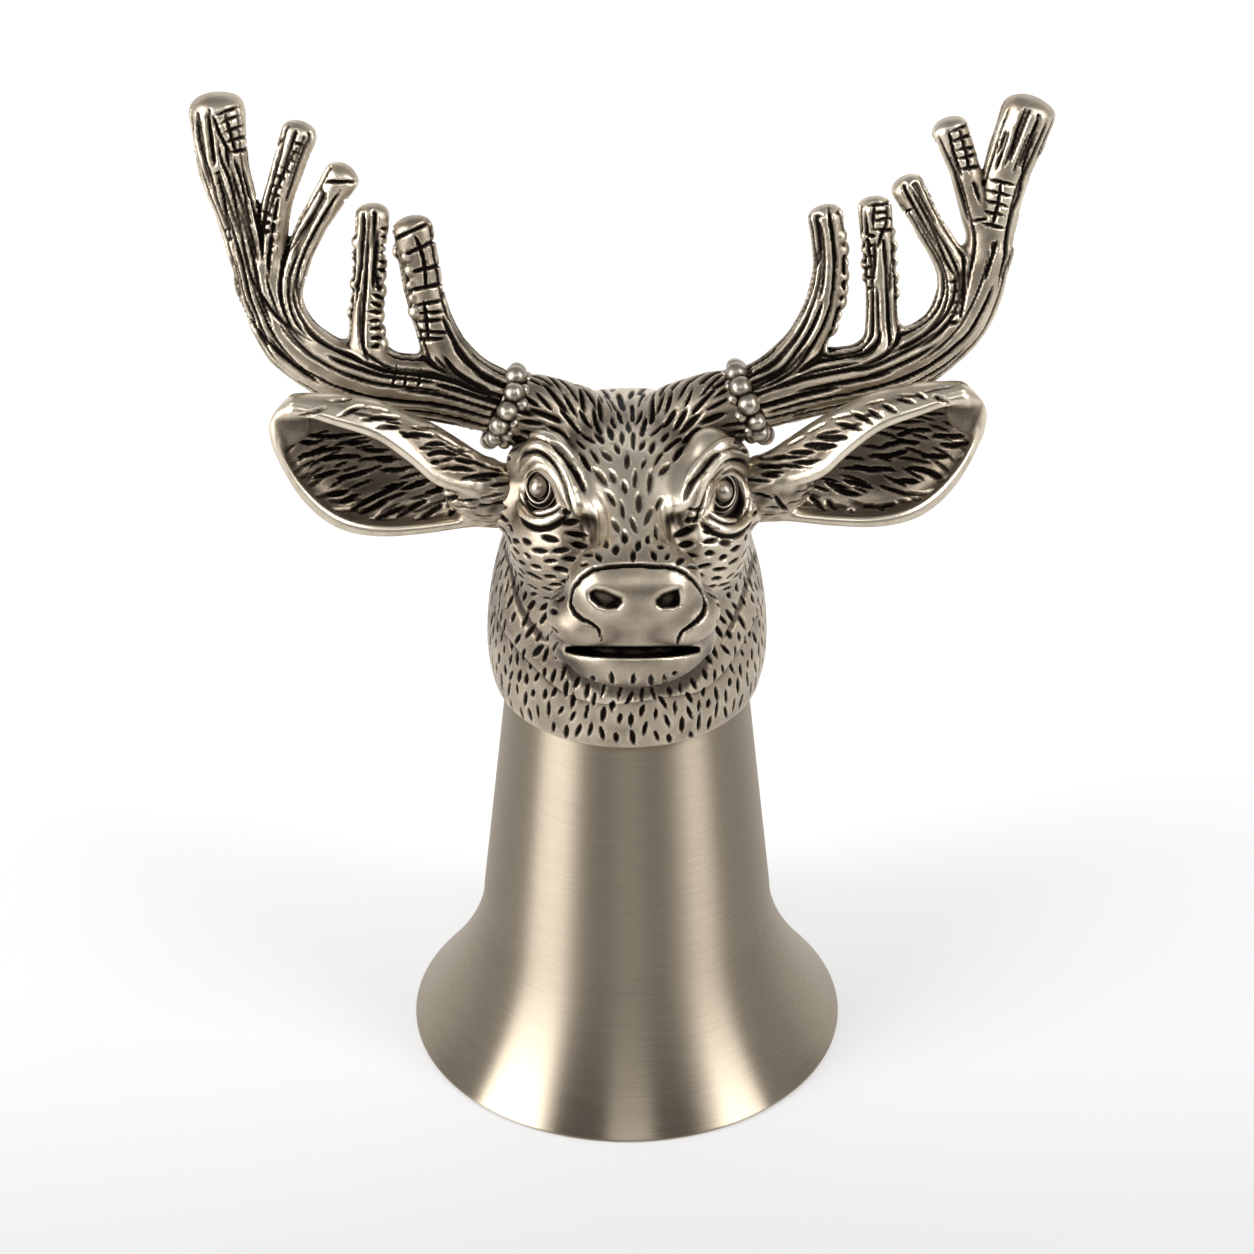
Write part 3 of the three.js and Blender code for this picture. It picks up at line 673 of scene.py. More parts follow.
# Soft solder as it froze: dull grey, faintly rippled.
solderLook = {
    "dull": "#77726b",
    "bright": "#98938c",
    "roughness": 0.45,
    "ripple": 0.8,  # mm from one to the next
    "height": 0.1,
}
solder, tree, shader = metalOf("softSolderFrozen")
where = node(tree, "ShaderNodeTexCoord").outputs["Object"]
size = {"Scale": 1 / (solderLook["ripple"] * millimetre)}
ripple = node(tree, "ShaderNodeTexNoise", size, {"Vector": where})
ends = {"data_type": "RGBA", 6: linear(solderLook["dull"]), 7: linear(solderLook["bright"])}
tone = node(tree, "ShaderNodeMix", ends, {0: ripple.outputs[0]})
height = {"Strength": 0.3, "Distance": solderLook["height"] * millimetre}
bump = node(tree, "ShaderNodeBump", height, {"Height": ripple.outputs[0]})
shader.inputs["Roughness"].default_value = solderLook["roughness"]
tree.links.new(tone.outputs[2], shader.inputs["Base Color"])
tree.links.new(bump.outputs[0], shader.inputs["Normal"])
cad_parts["solder_ring"].data.materials.clear()
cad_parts["solder_ring"].data.materials.append(solder)
print("finishes are mixed")


# The bell

bell = {
    "mouthRadius": 27.0,
    "bodyRadius": 17.8,
    "flareHeight": 19.7,
    "flarePower": 1.72,
    "taper": 0.099,
    "height": 72.0,
    "wall": 0.9,
    "endCorner": 4.0,
    "lipHeight": 0.35,
    "gap": 0.3,  # between the bell and the head's sleeve
    "sides": 256,
}


def bellRadius(z):
    flare = np.maximum(0, 1 - z / bell["flareHeight"]) ** bell["flarePower"]
    straight = bell["bodyRadius"] - bell["taper"] * np.maximum(0, z - bell["flareHeight"])
    return straight + (bell["mouthRadius"] - bell["bodyRadius"]) * flare


# Turns an outline about Z; its first and last points lie on the axis
def turned(outline, sides):
    angles = np.arange(sides) * 2 * np.pi / sides
    points = [(0, 0, outline[0][1])]
    for r, z in outline[1:-1]:
        points += [(r * math.cos(a), r * math.sin(a), z) for a in angles]
    points.append((0, 0, outline[-1][1]))
    faces = []
    rings = len(outline) - 2
    last = 1 + (rings - 1) * sides
    for i in range(sides):
        j = (i + 1) % sides
        faces.append((0, 1 + j, 1 + i))
        for k in range(rings - 1):
            a, b = 1 + k * sides, 1 + (k + 1) * sides
            faces.append((a + i, a + j, b + j, b + i))
        faces.append((last + i, last + j, len(points) - 1))
    return np.array(points), faces


def bellOutline(inset, steps):
    shoulder = bell["height"] - inset - bell["endCorner"]
    levels = bell["lipHeight"] + (shoulder - bell["lipHeight"]) * np.linspace(0, 1, steps) ** 1.5
    outline = [(float(bellRadius(z)) - inset, float(z)) for z in levels]
    corner = outline[-1][0]
    for a in np.radians(np.arange(10, 91, 10)):
        inwards, up = bell["endCorner"] * (1 - math.cos(a)), bell["endCorner"] * math.sin(a)
        outline.append((corner - inwards, shoulder + up))
    return outline


lipRound, lipUp = bell["wall"] / 2, bell["lipHeight"]
lipCentre = float(bellRadius(lipUp)) - lipRound
lip = []
for a in np.radians(np.arange(15, 166, 15)):
    lip.append((lipCentre - lipRound * math.cos(a), lipUp - lipUp * math.sin(a)))
outline = [(0, bell["height"] - bell["wall"])]
outline += bellOutline(bell["wall"], 60)[::-1] + lip + bellOutline(0, 60) + [(0, bell["height"])]
points, faces = turned(outline, bell["sides"])
piece("spunBell", points, faces, steel, "spun_steel", "bell_cup")


# The head

head = {
    "skullUp": 8.5,  # the skull's middle above the bell's end
    "noseFront": -27.2,
    "lipDown": 7.1,  # this and the next below the skull's middle
    "chinDown": 14.8,
    "lipHalf": 9.6,
    "padHalf": 7.5,  # the nose pad
    "eyeOut": 10.9,
    "burr": (14.4, 2.0, 8.9),  # right, back, and above the skull's middle
    "collar": 52.0,  # its lower edge
    "bulge": 58.0,  # where the neck is thickest
    "neckWall": 2.6,
}
skull = {"x": 13.8, "y": 14.3, "up": 10.2}
skullZ = bell["height"] + head["skullUp"]
lipZ, chinZ = skullZ - head["lipDown"], skullZ - head["chinDown"]
collarZ, bulgeZ = head["collar"], head["bulge"]
noseY, lipX, padHalf, eyeX = (head[key] for key in ("noseFront", "lipHalf", "padHalf", "eyeOut"))
burrAt = np.array(head["burr"]) + (0, 0, skullZ)
neckRadius = float(bellRadius(bulgeZ)) + bell["gap"] + head["neckWall"]

# What the camera sees of the face, as lines on the plane through the aim point, (right, up) in mm
noseLine = [
    [(-3.1, -1.7), (-3.3, -0.8), (-3.6, -0.1), (-4.5, 0.5), (-5.6, 1.1), (-6.4, 1.9), (-6.8, 2.9),
        (-6.7, 4.0), (-6.2, 5.1), (-5.2, 6.2), (-4.0, 6.9), (-2.5, 7.2), (-0.8, 7.3), (1.2, 7.4),
        (3.4, 7.3), (5.0, 7.2), (6.3, 6.9), (7.5, 6.1), (8.5, 5.0), (9.2, 3.8), (9.4, 2.8), (9.2, 1.7),
        (8.5, 0.8), (7.6, 0.1), (6.7, -0.6), (6.2, -1.5), (6.1, -2.3)],
]
nostrils = [
    [(-4.7, 4.2), (-3.9, 4.7), (-2.8, 4.6), (-1.5, 4.0), (-0.6, 3.6), (-0.5, 2.9), (-1.1, 2.2),
        (-2.3, 2.1), (-3.6, 2.5), (-4.5, 3.3)],
    [(3.4, 3.3), (4.2, 4.1), (5.6, 4.6), (6.3, 4.7), (6.5, 3.6), (6.5, 2.7), (5.7, 2.3), (4.2, 2.2),
        (3.5, 2.7)],
]
mouth = {"centre": 0.7, "half": 8.1, "top": -2.37, "bottom": -3.75, "depth": 3.2}
chinFold = [
    [(-7.9, -3.1), (-7.0, -4.8), (-5.3, -6.2), (-2.7, -7.2), (1.1, -7.7), (4.9, -7.3), (7.6, -6.2),
        (9.1, -4.6), (9.8, -2.9)],
]
chinMarks = [
    [(-4.1, -5.8), (-4.1, -6.5)],
    [(-1.9, -5.4), (-1.8, -6.9)],
    [(0.8, -5.6), (0.7, -7.0)],
    [(2.8, -5.7), (3.0, -7.1)],
    [(4.4, -5.7), (4.6, -7.0)],
    [(5.7, -5.3), (5.8, -5.8)],
]
tearLines = [
    [(-3.5, 16.3), (-2.7, 14.8), (-2.3, 12.7), (-2.5, 10.5)],
    [(-4.2, 15.4), (-3.5, 13.6), (-3.3, 11.1), (-3.6, 9.3)],
    [(-5.0, 13.9), (-4.5, 12.0), (-4.2, 9.9)],
    [(-5.7, 12.7), (-5.2, 11.0), (-5.0, 9.6)],
    [(4.0, 15.4), (4.2, 13.0), (4.8, 10.8), (5.6, 9.1)],
    [(4.7, 14.8), (5.0, 12.7), (5.3, 11.1)],
    [(5.3, 15.7), (5.4, 13.9), (5.4, 12.3)],
    [(6.2, 13.9), (6.4, 12.0)],
    [(6.8, 13.0), (6.5, 11.3)],
    [(3.4, 13.9), (3.6, 12.0)],
]
jawLines = [
    [(-14.8, 9.6), (-13.9, 6.3), (-13.3, 3.3), (-12.3, 1.1), (-11.1, -0.5), (-9.8, -1.8)],
    [(15.9, 9.9), (15.1, 7.5), (14.5, 5.3), (14.0, 3.6), (13.4, 1.9), (12.7, 0.2), (11.5, -1.6)],
]
# the beard's lower layer comes out from under the upper one
tier = {"edge": 59.6, "rise": 6.0, "step": 0.28, "fades": 7.0}
# The lids, from the middle of the left eye; the right eye is its mirror image
eyeSights = {-1: (-10.65, 16.7), 1: (12.47, 15.74)}  # where the camera sees each middle
eyeOpening = [(-1.57, 0.0), (-1.33, 1.21), (-0.85, 2.06), (-0.12, 2.48), (0.61, 2.3), (1.33, 1.82),
    (1.94, 0.85), (2.42, -0.36), (2.78, -1.69), (1.82, -2.18), (0.61, -2.54), (-0.36, -2.54),
    (-1.21, -1.82), (-1.57, -0.85)]
eyeFolds = [
    ("ridge", 0.26, [(-1.82, 0.73), (-1.51, 1.57), (-0.97, 2.42), (-0.12, 2.84), (0.73, 2.66),
        (1.57, 1.94), (2.24, 0.85), (2.72, -0.36), (3.15, -1.69)]),
    ("ridge", 0.3, [(-2.3, 2.06), (-1.69, 3.03), (-0.85, 3.69), (0.0, 3.75), (0.97, 3.21), (1.82, 2.3),
        (2.54, 1.15), (3.15, -0.12), (3.51, -1.69), (3.87, -2.91)]),
    ("fold", 0.3, [(-2.54, 3.27), (-1.69, 4.3), (-0.61, 4.6), (0.36, 4.36), (1.27, 3.69), (2.12, 2.66),
        (2.84, 1.45), (3.39, 0.0), (3.87, -1.57), (4.36, -3.15)]),
    ("ridge", 0.45, [(-2.06, 4.6), (-1.09, 5.08), (0.0, 5.27), (0.91, 4.9), (1.88, 3.93), (2.72, 2.72),
        (3.39, 1.27), (3.99, -0.24), (4.48, -1.82), (4.96, -3.63)]),
    ("fold", 0.42, [(1.45, 5.45), (2.3, 4.66), (3.15, 3.75), (3.99, 2.66), (4.72, 1.51), (5.27, 0.24),
        (5.57, -0.61)]),
    ("ridge", 0.5, [(-0.85, 6.54), (0.24, 6.54), (1.45, 6.05), (2.42, 5.21), (3.39, 4.12),
        (4.36, 2.97), (5.33, 1.69)]),
    ("ridge", 0.26, [(-2.18, 0.0), (-1.94, -0.97), (-1.33, -2.06), (-0.54, -2.72), (0.24, -2.91),
        (1.15, -2.72), (2.0, -2.3), (2.54, -1.82)]),
    ("fold", 0.2, [(-2.42, -0.48), (-2.24, -1.21), (-1.57, -2.42), (-0.73, -3.15), (0.24, -3.33),
        (1.21, -3.15), (2.18, -2.66), (2.91, -2.06)]),
    ("ridge", 0.5, [(-2.54, -1.57), (-1.82, -2.91), (-0.85, -3.69), (0.24, -3.99), (1.45, -3.75),
        (2.42, -3.21), (3.15, -2.54)]),
    ("fold", 0.35, [(-2.18, -3.39), (-1.21, -4.36), (0.12, -4.78), (1.45, -4.54), (2.66, -3.87),
        (3.75, -3.03)]),
]


def burrAxis(side):
    tilt, back = math.radians(21), math.radians(8)
    level = math.cos(tilt)
    return np.array([side * level * math.cos(back), level * math.sin(back), math.sin(tilt)])


def tearDuct(q):
    return rod(q, (5.0, -13.5, skullZ + 2.4), 0, (6.9, -17.5, skullZ - 1.6), 0)


def mirrored(p):
    q = p.copy()
    q[:, 0] = np.abs(q[:, 0])
    return q


def headClay(p):
    q = mirrored(p)
    drop = np.where(q[:, 2] > bulgeZ, 0.011, 0.025) * (q[:, 2] - bulgeZ) ** 2
    wave = 0.35 * np.sin(7 * np.arctan2(p[:, 0], -p[:, 1]))
    above = q[:, 2] - tier["edge"] - wave - tier["rise"] * ease(q[:, 0], 7, 19)
    layer = ease(above, -0.2, 0.2) * (1 - ease(above, 0.2, tier["fades"])) * (1 - ease(q[:, 1], -8, -2))
    drop = drop - tier["step"] * layer
    d = np.maximum(np.hypot(q[:, 0], q[:, 1]) - neckRadius + drop, q[:, 2] - skullZ - 1)
    pad = block(q, (0, noseY + 4.6, skullZ - 0.7), (padHalf, 4.6, 4.9), 3.9)
    for softness, shape in (
        (2.5, ball(q, (0, 1, skullZ - 1), (skull["x"], skull["y"], skull["up"] - 0.9))),
        (3, ball(q, (0, -5, skullZ + 2.6), (9.5, 9, 6.3))),  # forehead
        (3, rod(q, (0, 6, skullZ - 1.5), 9, (0, 4, bulgeZ + 5), 12.4)),  # nape
        (2.5, rod(q, (4.5, 2, skullZ + 5), 4.6, burrAt, 4.1)),  # pedicle
        (2, rod(q, (5.5, 2.5, skullZ + 7.4), 3.6, (10, 2.2, skullZ + 8.5), 3.6)),
        (1.5, rod(q, (9.5, -6.4, skullZ + 7.8), 2.1, (eyeX + 1.3, -3.6, skullZ + 4.6), 2.2)),  # brow
        (1.8, rod(q, (9.5, -6.4, skullZ + 7.8), 2.1, (5.0, -12.4, skullZ + 3.6), 1.4)),
        (2, rod(q, (0, -9, skullZ + 3.4), 4.6, (0, noseY + 5, skullZ), 3.6)),  # bridge
        (2, rod(q, (0, -9, skullZ - 4.4), 7.4, (0, noseY + 7.4, skullZ - 4.6), 6.6)),  # muzzle
        (1.2, 0.55 * pad + 0.45 * ball(q, (0, noseY + 4.9, skullZ - 0.8), (padHalf + 0.9, 5, 5.5))),  # nose
        (1.2, ball(q, (lipX - 4.2, noseY + 5.4, lipZ + 2.6), (4.7, 5, 3.5))),  # upper lip
        (1.2, ball(q, (0, noseY + 7.5, chinZ + 5.1), (lipX - 0.5, 7, 5.1))),  # chin
        (0.8, rod(q, (0, noseY + 7.8, lipZ - 3.2), 3.6, (6.6, noseY + 8.4, lipZ - 3.2), 3.2)),  # gums
        (2, rod(q, (0, -15, chinZ + 6), 5, (5, -6, chinZ + 7.2), 6.5)),  # jaw
        (2.5, ball(q, (8, -6, skullZ - 3.8), (6.3, 8.4, 7.8))),  # cheek
        (1.5, rod(q, (7.2, -12, skullZ - 1.4), 2.2, (eyeX + 1, -4.2, skullZ - 1.8), 2.8)),
        (2, rod(q, (9, -2, skullZ - 0.8), 5, (skull["x"] - 0.8, -2.6, skullZ - 1), 4)),  # ear root
    ):
        d = blend(d, shape, softness)
    # a shallow valley over the crown and down the nape, and one from each eye down beside the bridge
    level = q[:, 2] + 6 * ease(q[:, 1], 0, 8)
    valley = np.exp(-((q[:, 0] / 5.5) ** 2)) * ease(level, skullZ + 2, skullZ + 6)
    valley = valley * ease(q[:, 1], -8, 0)
    return d + valley + 0.9 * np.exp(-((tearDuct(q) / 1.6) ** 2))


# How far from a point inside a line leaves the clay
def leaving(field, start, direction):
    steps = np.arange(0, 14, 0.02)
    return steps[np.argmax(field(start + steps[:, None] * direction) > 0)]


def basis(axis):
    z = unit(axis)
    x = unit(np.cross((0, 0, 1), z))
    return np.stack([x, np.cross(z, x), z])


# Where the camera sees points, on the plane through the aim point
def sightOf(p):
    d = p - eyePoint
    shrink = view["distance"] / -(d @ sightBack)
    return np.stack([d @ sightRight * shrink, d @ sightUp * shrink], 1)


eyes = {}
for side in (-1, 1):
    axis = unit((side * 0.62, -0.72, 0.32))
    seat = np.array([side * eyeX, -7.6, skullZ + 3.2 - 0.5 * side])
    at = seat + axis * (leaving(headClay, seat, axis) - 0.5)
    rays = raysTo(np.array(eyeOpening) * (-side, 1) + eyeSights[side])
    met = eyePoint + rays * ((at - eyePoint) @ axis / (rays @ axis))[:, None]
    flat = ((met - at) @ basis(axis).T)[:, :2]
    opening = eased(np.vstack([flat, flat[:1]]), 0.4)[:-1]
    eyes[side] = {"at": at, "axis": axis, "opening": opening}
print("eyes are seated")


def headCasting(p):
    clay = headClay(p)
    d = clay.copy()
    face = np.nonzero((np.abs(clay) < 4.5) & (p[:, 1] < 2) & (p[:, 2] > 68))[0]
    q, depth, part = p[face], -clay[face], clay[face].copy()
    for side, eye in eyes.items():
        near = np.nonzero(np.abs(q - eye["at"]).max(axis=1) < 6)[0]
        local = (q[near] - eye["at"]) @ basis(eye["axis"]).T
        well = np.maximum(gapTo(local[:, :2], eye["opening"]), -1.0 - local[:, 2])
        part[near] = cutFrom(part[near], well, 0.35)
    seen = sightOf(q)
    for opening in nostrils:
        middle = np.mean(opening, axis=0)
        near = np.nonzero((np.abs(seen - middle).max(axis=1) < 4) & (q[:, 1] < noseY + 8))[0]
        gap = gapTo(seen[near], np.array(opening))
        part[near] = cutFrom(part[near], np.maximum(gap + 0.3 * depth[near], depth[near] - 1.15), 0.6)
    near = np.nonzero(q[:, 1] < noseY + 10)[0]
    x = (seen[near, 0] - mouth["centre"]) / mouth["half"]
    middle = (mouth["top"] + mouth["bottom"]) / 2
    gape = (mouth["top"] - mouth["bottom"]) / 2 * (1 - 0.25 * x * x - 0.4 * x**8)
    slit = np.maximum(np.abs(seen[near, 1] - middle - 0.34 * x * x) - gape, (np.abs(x) - 1) * mouth["half"])
    gumZ = lipZ - 3.2
    gums = rod(mirrored(q[near]), (0, noseY + 7.8, gumZ), 3.3, (9.5, noseY + 8.8, gumZ), 2.2)
    opened = np.maximum(slit, np.maximum(depth[near] - mouth["depth"], -gums))
    part[near] = cutFrom(part[near], opened, 0.35)
    d[face] = part
    d = np.maximum(d, (mirrored(p) - burrAt) @ burrAxis(1) + 1.2)
    sleeve = np.hypot(p[:, 0], p[:, 1]) - bellRadius(p[:, 2]) - bell["gap"]
    sleeve = np.maximum(sleeve, p[:, 2] - bell["height"] - bell["gap"])
    d = np.maximum(d, -sleeve)
    return cutFrom(d, p[:, 2] - collarZ, 0.6)


# The way the hair lies
def headFlow(p, n):
    x, y, z = p.T
    fan = 0.035 + 0.075 * ease(y, -20, 0)
    down = 3 * ease(y, 5, 13)
    top = np.stack([fan * x, np.ones(len(p)), -down], 1)
    cheek = np.stack([np.sign(x), np.full(len(p), 0.35), np.full(len(p), -0.12)], 1)
    ruff = np.stack([x, 0.12 * y, z - 92], 1)
    ruff /= np.linalg.norm(ruff, axis=1)[:, None]
    # round the chin the hair fans out from the mouth
    fromLips = np.hypot(x, z - lipZ)
    fanned = (1 - ease(fromLips, 10, 16)) * (1 - ease(y, -12, -6))
    ruff += fanned[:, None] * np.stack([1.6 * x, 0 * x, 1.6 * (z - lipZ)], 1) / fromLips[:, None]
    onTop = ease(z + 0.25 * np.abs(x) * ease(y, 0, 6), 82, 86)
    onRuff = 1 - ease(z, 70, 76)
    onRuff = np.maximum(onRuff, ease(y, -2, 3)) * (1 - onTop)
    onCheek = (1 - onTop) * (1 - onRuff)
    # away from the middle of the face only; the bridge keeps its own way
    bridge = (1 - ease(np.abs(x), 3.5, 6)) * (1 - onRuff) * ease(z, 74, 78)
    d = onTop[:, None] * top + onCheek[:, None] * cheek + onRuff[:, None] * ruff
    d = d * (1 - bridge[:, None]) + top * bridge[:, None]
    return alongSkin(d, n)


hair = {
    "across": 1.25,  # mm from mark to mark, across the flow and along it
    "along": 2.2,
    "width": 0.4,
    "depth": 0.34,
    "astray": 0.12,  # radians
}
# How much darker each place is made, from 0 where the black is rubbed off; all but the first in some
# places. Besides the black that has stayed, the ruff and under-chin entries are painted shade and the
# bridge entry is painted light
black = {
    "everywhere": 0.28,
    # painted shade over the lower head and beard, partly real staining
    "ruff": 0.1,
    "crown": 0.12,
    "middle": 0.04,
    # painted light: the bridge is made lighter
    "bridge": 0.2,  # so much less there
    "sides": 0.18,
    "muzzle": 0.12,
    "paintedShadeUnderChin": 0.1,
    "burrs": 0.5,
    "uneven": 0.06,
}

points, normals, quads = moulded(headCasting, (-18.6, -29, 51), (18.6, 19, 94.4), 0.44)
clayPoints = points
x, y, z = points.T
outer = (headClay(points) > -0.25) & (z > collarZ + 0.7)
seen = sightOf(points)
shown = normals @ sightBack
bald = ~outer
bald |= (y < -16) & (gapTo(seen, np.array(noseLine[0])) < 1.1) & (shown > 0)
lips = (np.abs(seen[:, 0] - 1.1) < 9.9) & (seen[:, 1] < 3.2) & (seen[:, 1] > -5.2)
bald |= (y < -15) & (z > 64.5) & lips & (shown > 0.1)
bald |= (y < -14) & (((seen[:, 0] - 1.1) / 9.2) ** 2 + ((seen[:, 1] + 3.6) / 4.4) ** 2 < 1)
for side in (-1, 1):
    bald |= (np.hypot((seen[:, 0] - 0.6 - side * 4.8) / 1.7, (seen[:, 1] - 12.6) / 4) < 1) & (y < -8)
for side, eye in eyes.items():
    local = (points - eye["at"]) @ basis(eye["axis"]).T
    bald |= np.hypot(local[:, 0], local[:, 1] / 1.15) < 5.2
    brow = rod(points, (side * 9.8, -6.4, skullZ + 8.6), 0, (side * 5.4, -12, skullZ + 5), 0)
    bald |= brow < 2.6
flow = headFlow(points, normals)
crown = ease(z, 86, 89) * ease(y, -9, -4)
bridge = ease(z, 77, 80) * (1 - ease(np.abs(x), 5, 7.5)) * (1 - crown) * ease(y, -22, -18)
ruff = 1 - ease(z, 68, 76)
behind = ease(y, 0, 8)
collar = 1 - ease(z, 54, 60)
beard = ruff * (1 - ease(np.hypot(x, z - lipZ), 13, 18)) * (1 - ease(y, -12, -6))
cheek = (1 - ease(z, 82, 85)) * ease(z, 72, 76) * (1 - behind)
across = hair["across"] - 0.2 * crown - 0.05 * ruff + 0.25 * collar - 0.15 * cheek - 0.1 * beard
along = (
    hair["along"] + 2.1 * crown + 1.2 * bridge - 0.05 * ruff + 0.8 * collar
    + 0.9 * behind + 0.1 * cheek + 0.5 * beard
)
order = np.linalg.norm(points - (0, -24, 78), axis=1) + draws.normal(0, 0.6, len(points))
free = np.nonzero(~bald)[0]
chosen = free[strewn(points[free], normals[free], flow[free], across[free], along[free], order[free])]
lengths = (along[chosen] - 0.2) * draws.uniform(0.65, 1.25, len(chosen))
hairs = combed(points[chosen], headClay, headFlow, lengths, 3, astray=hair["astray"])
widths = hair["width"] - 0.07 * ruff[chosen] - 0.05 * crown[chosen]
widths = widths * draws.uniform(0.75, 1.3, len(chosen))
strokes = [(line, width, hair["depth"]) for line, width in zip(hairs, widths)]
print(len(strokes), "hair marks")
for lines, width, depth in (
    (noseLine, 0.36, 0.45),
    (chinMarks, 0.36, 0.45),
    (chinFold, 1.3, 0.18),
    (tearLines, 0.3, 0.08),
    (jawLines, 0.75, 0.16),
):
    strokes += drawnOn(headClay, lines, width, depth)
for side in (-1, 1):
    for kind, width, line in eyeFolds:
        drawn = np.array(line) * (-side, 1) + eyeSights[side]
        strokes += drawnOn(headClay, [drawn], 1.3 * width, (0.9 if kind == "fold" else -0.85) * width)
points, groove = engraved(points, normals, strokes)
hollow = hollows(points, quads, normals)
inside = ease(-headClay(clayPoints), 0.4, 1.6) * (clayPoints[:, 1] < 0)
# darker round the burrs, where the black has stayed thickest, and over the crown; darker down the beard as
# painted shade, partly real staining; lighter over the bridge as painted light
sides = ease(np.abs(x), 5, 8) * ease(z, 57, 64) * (1 - ease(z, 80, 84)) * (1 - 0.8 * ease(x, 0, 6))
toBurr = np.linalg.norm(mirrored(clayPoints) - burrAt, axis=1)
middle = ease(z, 84, 88) * ease(y, -7, -2) * (1 - ease(np.abs(x), 5, 8))
muzzle = black["muzzle"] * (1 - ease(y, -22, -17))
# painted shade: a soft dark band along the chin fold, where the chin shades the beard
paintedShadeUnderChin = np.zeros(len(points))
near = np.nonzero((y < -10) & (z < 71))[0]
fold = eased(chinFold[0])
paintedShadeUnderChin[near] = np.exp(-(np.min([np.hypot(*(seen[near] - at).T) for at in fold], axis=0) / 1.1) ** 2)
stain = (
    black["ruff"] * (1 - ease(z, 66, 78)) + black["crown"] * crown + black["middle"] * middle
    - black["bridge"] * bridge + black["sides"] * sides + muzzle + black["paintedShadeUnderChin"] * paintedShadeUnderChin
)
stain += black["burrs"] * np.exp(-((toBurr / 5) ** 2)) + black["uneven"] * lumps(points, 7)
# painted shade down the tear valleys beside the bridge, heavier on the left
toDuct = tearDuct(mirrored(clayPoints))
leftDuctShade, rightDuctShade = 0.32 * np.exp(-((toDuct / 2.8) ** 2)), 0.2 * np.exp(-((toDuct / 1.8) ** 2))
stain += np.where(x < 0, leftDuctShade, rightDuctShade)
inside = np.where(seen[:, 1] < 0, 0.4, 0.25) * inside  # the mouth, and the nostrils above it
patinaAndPaintedShading = np.clip(black["everywhere"] + stain + hollow + groove + inside, 0, 1.2)
piece("stagHead", points, quads, *pewter, "head_casting", patinaAndPaintedShading, mostTriangles)


# The eyes: a turned stud with a thin raised ring and a domed pupil

eyeball = {
    "radius": 3.4,
    "foot": -1.9,
    "floor": -0.5,
    "ring": 1.76,
    "second": 0.62,  # from the bright ring out to the fainter one
    "wire": 0.14,
    "dome": 1.3,
    "domeFoot": -0.35,
    "domeUp": 1.5,
    "stretch": 1.1,
}
ring, wire, dome, low = eyeball["ring"], eyeball["wire"], eyeball["dome"], eyeball["floor"]
profile = [(0, eyeball["foot"]), (eyeball["radius"], eyeball["foot"]), (eyeball["radius"], low)]
for at, level, up in ((ring + eyeball["second"], low, 0.4), (ring, 0.05, 0.24)):
    profile.append((at + 1.05 * wire, low + 0.02))
    for a in np.radians(np.arange(0, 181, 20)):
        profile.append((at + wire * math.cos(a), level + up * math.sin(a)))
    profile.append((at - 1.05 * wire, low + 0.02))
profile += [(ring - wire, low + 0.2), (dome + 0.04, low + 0.15)]
for a in np.radians(np.arange(0, 90, 9)):
    profile.append((dome * math.cos(a), eyeball["domeFoot"] + eyeball["domeUp"] * math.sin(a)))
profile.append((0, eyeball["domeFoot"] + eyeball["domeUp"]))
for name, side in leftAndRight:
    local, faces = turned(profile, 64)
    onDome = np.hypot(local[:, 0], local[:, 1]) < dome + 0.01
    # painted shade: the stud is darkest at the dome's foot and over its floor, and lightest on the ring's
    # crest and the dome's top
    shade = 0.85 - 0.35 * ease(local[:, 2], -0.4, -0.15) - 0.22 * ease(local[:, 2], -0.1, 0.1)
    shade = np.where(onDome, 0.95 - 0.62 * ease(local[:, 2], -0.35, 0.45), shade)
    local = local * (1, eyeball["stretch"], 1)
    points = eyes[side]["at"] + local @ basis(eyes[side]["axis"])
    piece("eyeball" + name.title(), points, faces, *brightPewter, "eye_" + name, shade)


# The burr rings: beads round a band

burr = {
    "core": 3.95,
    "thick": 1.9,
    "bore": 2.7,
    "beads": 12,  # in a row
    "rows": ((4.4, 1.2, 0.1), (4.1, 0.75, -1.2)),  # how far out, the beads' radius, how high
}
for name, side in leftAndRight:
    frameOf = basis(burrAxis(side))
    centre = burrAt * (side, 1, 1)
    beads = []
    for row, (ring, size, level) in enumerate(burr["rows"]):
        for k in range(burr["beads"]):
            a = (k + 0.5 * row + draws.uniform(-0.14, 0.14)) * 2 * np.pi / burr["beads"]
            at = (ring * math.cos(a), ring * math.sin(a), level + draws.uniform(-0.2, 0.2))
            beads.append((at, size * draws.uniform(0.86, 1.1)))

    def burrRing(p):
        local = (p - centre) @ frameOf.T
        r = np.hypot(local[:, 0], local[:, 1])
        d = np.maximum(r - burr["core"], np.abs(local[:, 2]) - burr["thick"] / 2)
        d = np.maximum(d, burr["bore"] - r)
        for at, size in beads:
            d = blend(d, ball(local, at, (size, size, size)), 0.15)
        return d + 0.04 * lumps(p, 1.4)

    low, high = centre - 6.2, centre + 6.2
    points, normals, quads = moulded(burrRing, low, high, 0.32)
    hollow = hollows(points, quads, normals, ((4, 3.2), (20, 2.8)))
    patinaAndPaintedShading = np.clip(0.58 + hollow, 0.22, 1.2)
    piece("beadedBurr" + name.title(), points, quads, *brightPewter, "burr_ring_" + name, patinaAndPaintedShading)


# The antlers, cast flat in their own plane: limbs as (out, up, radius) from the burr

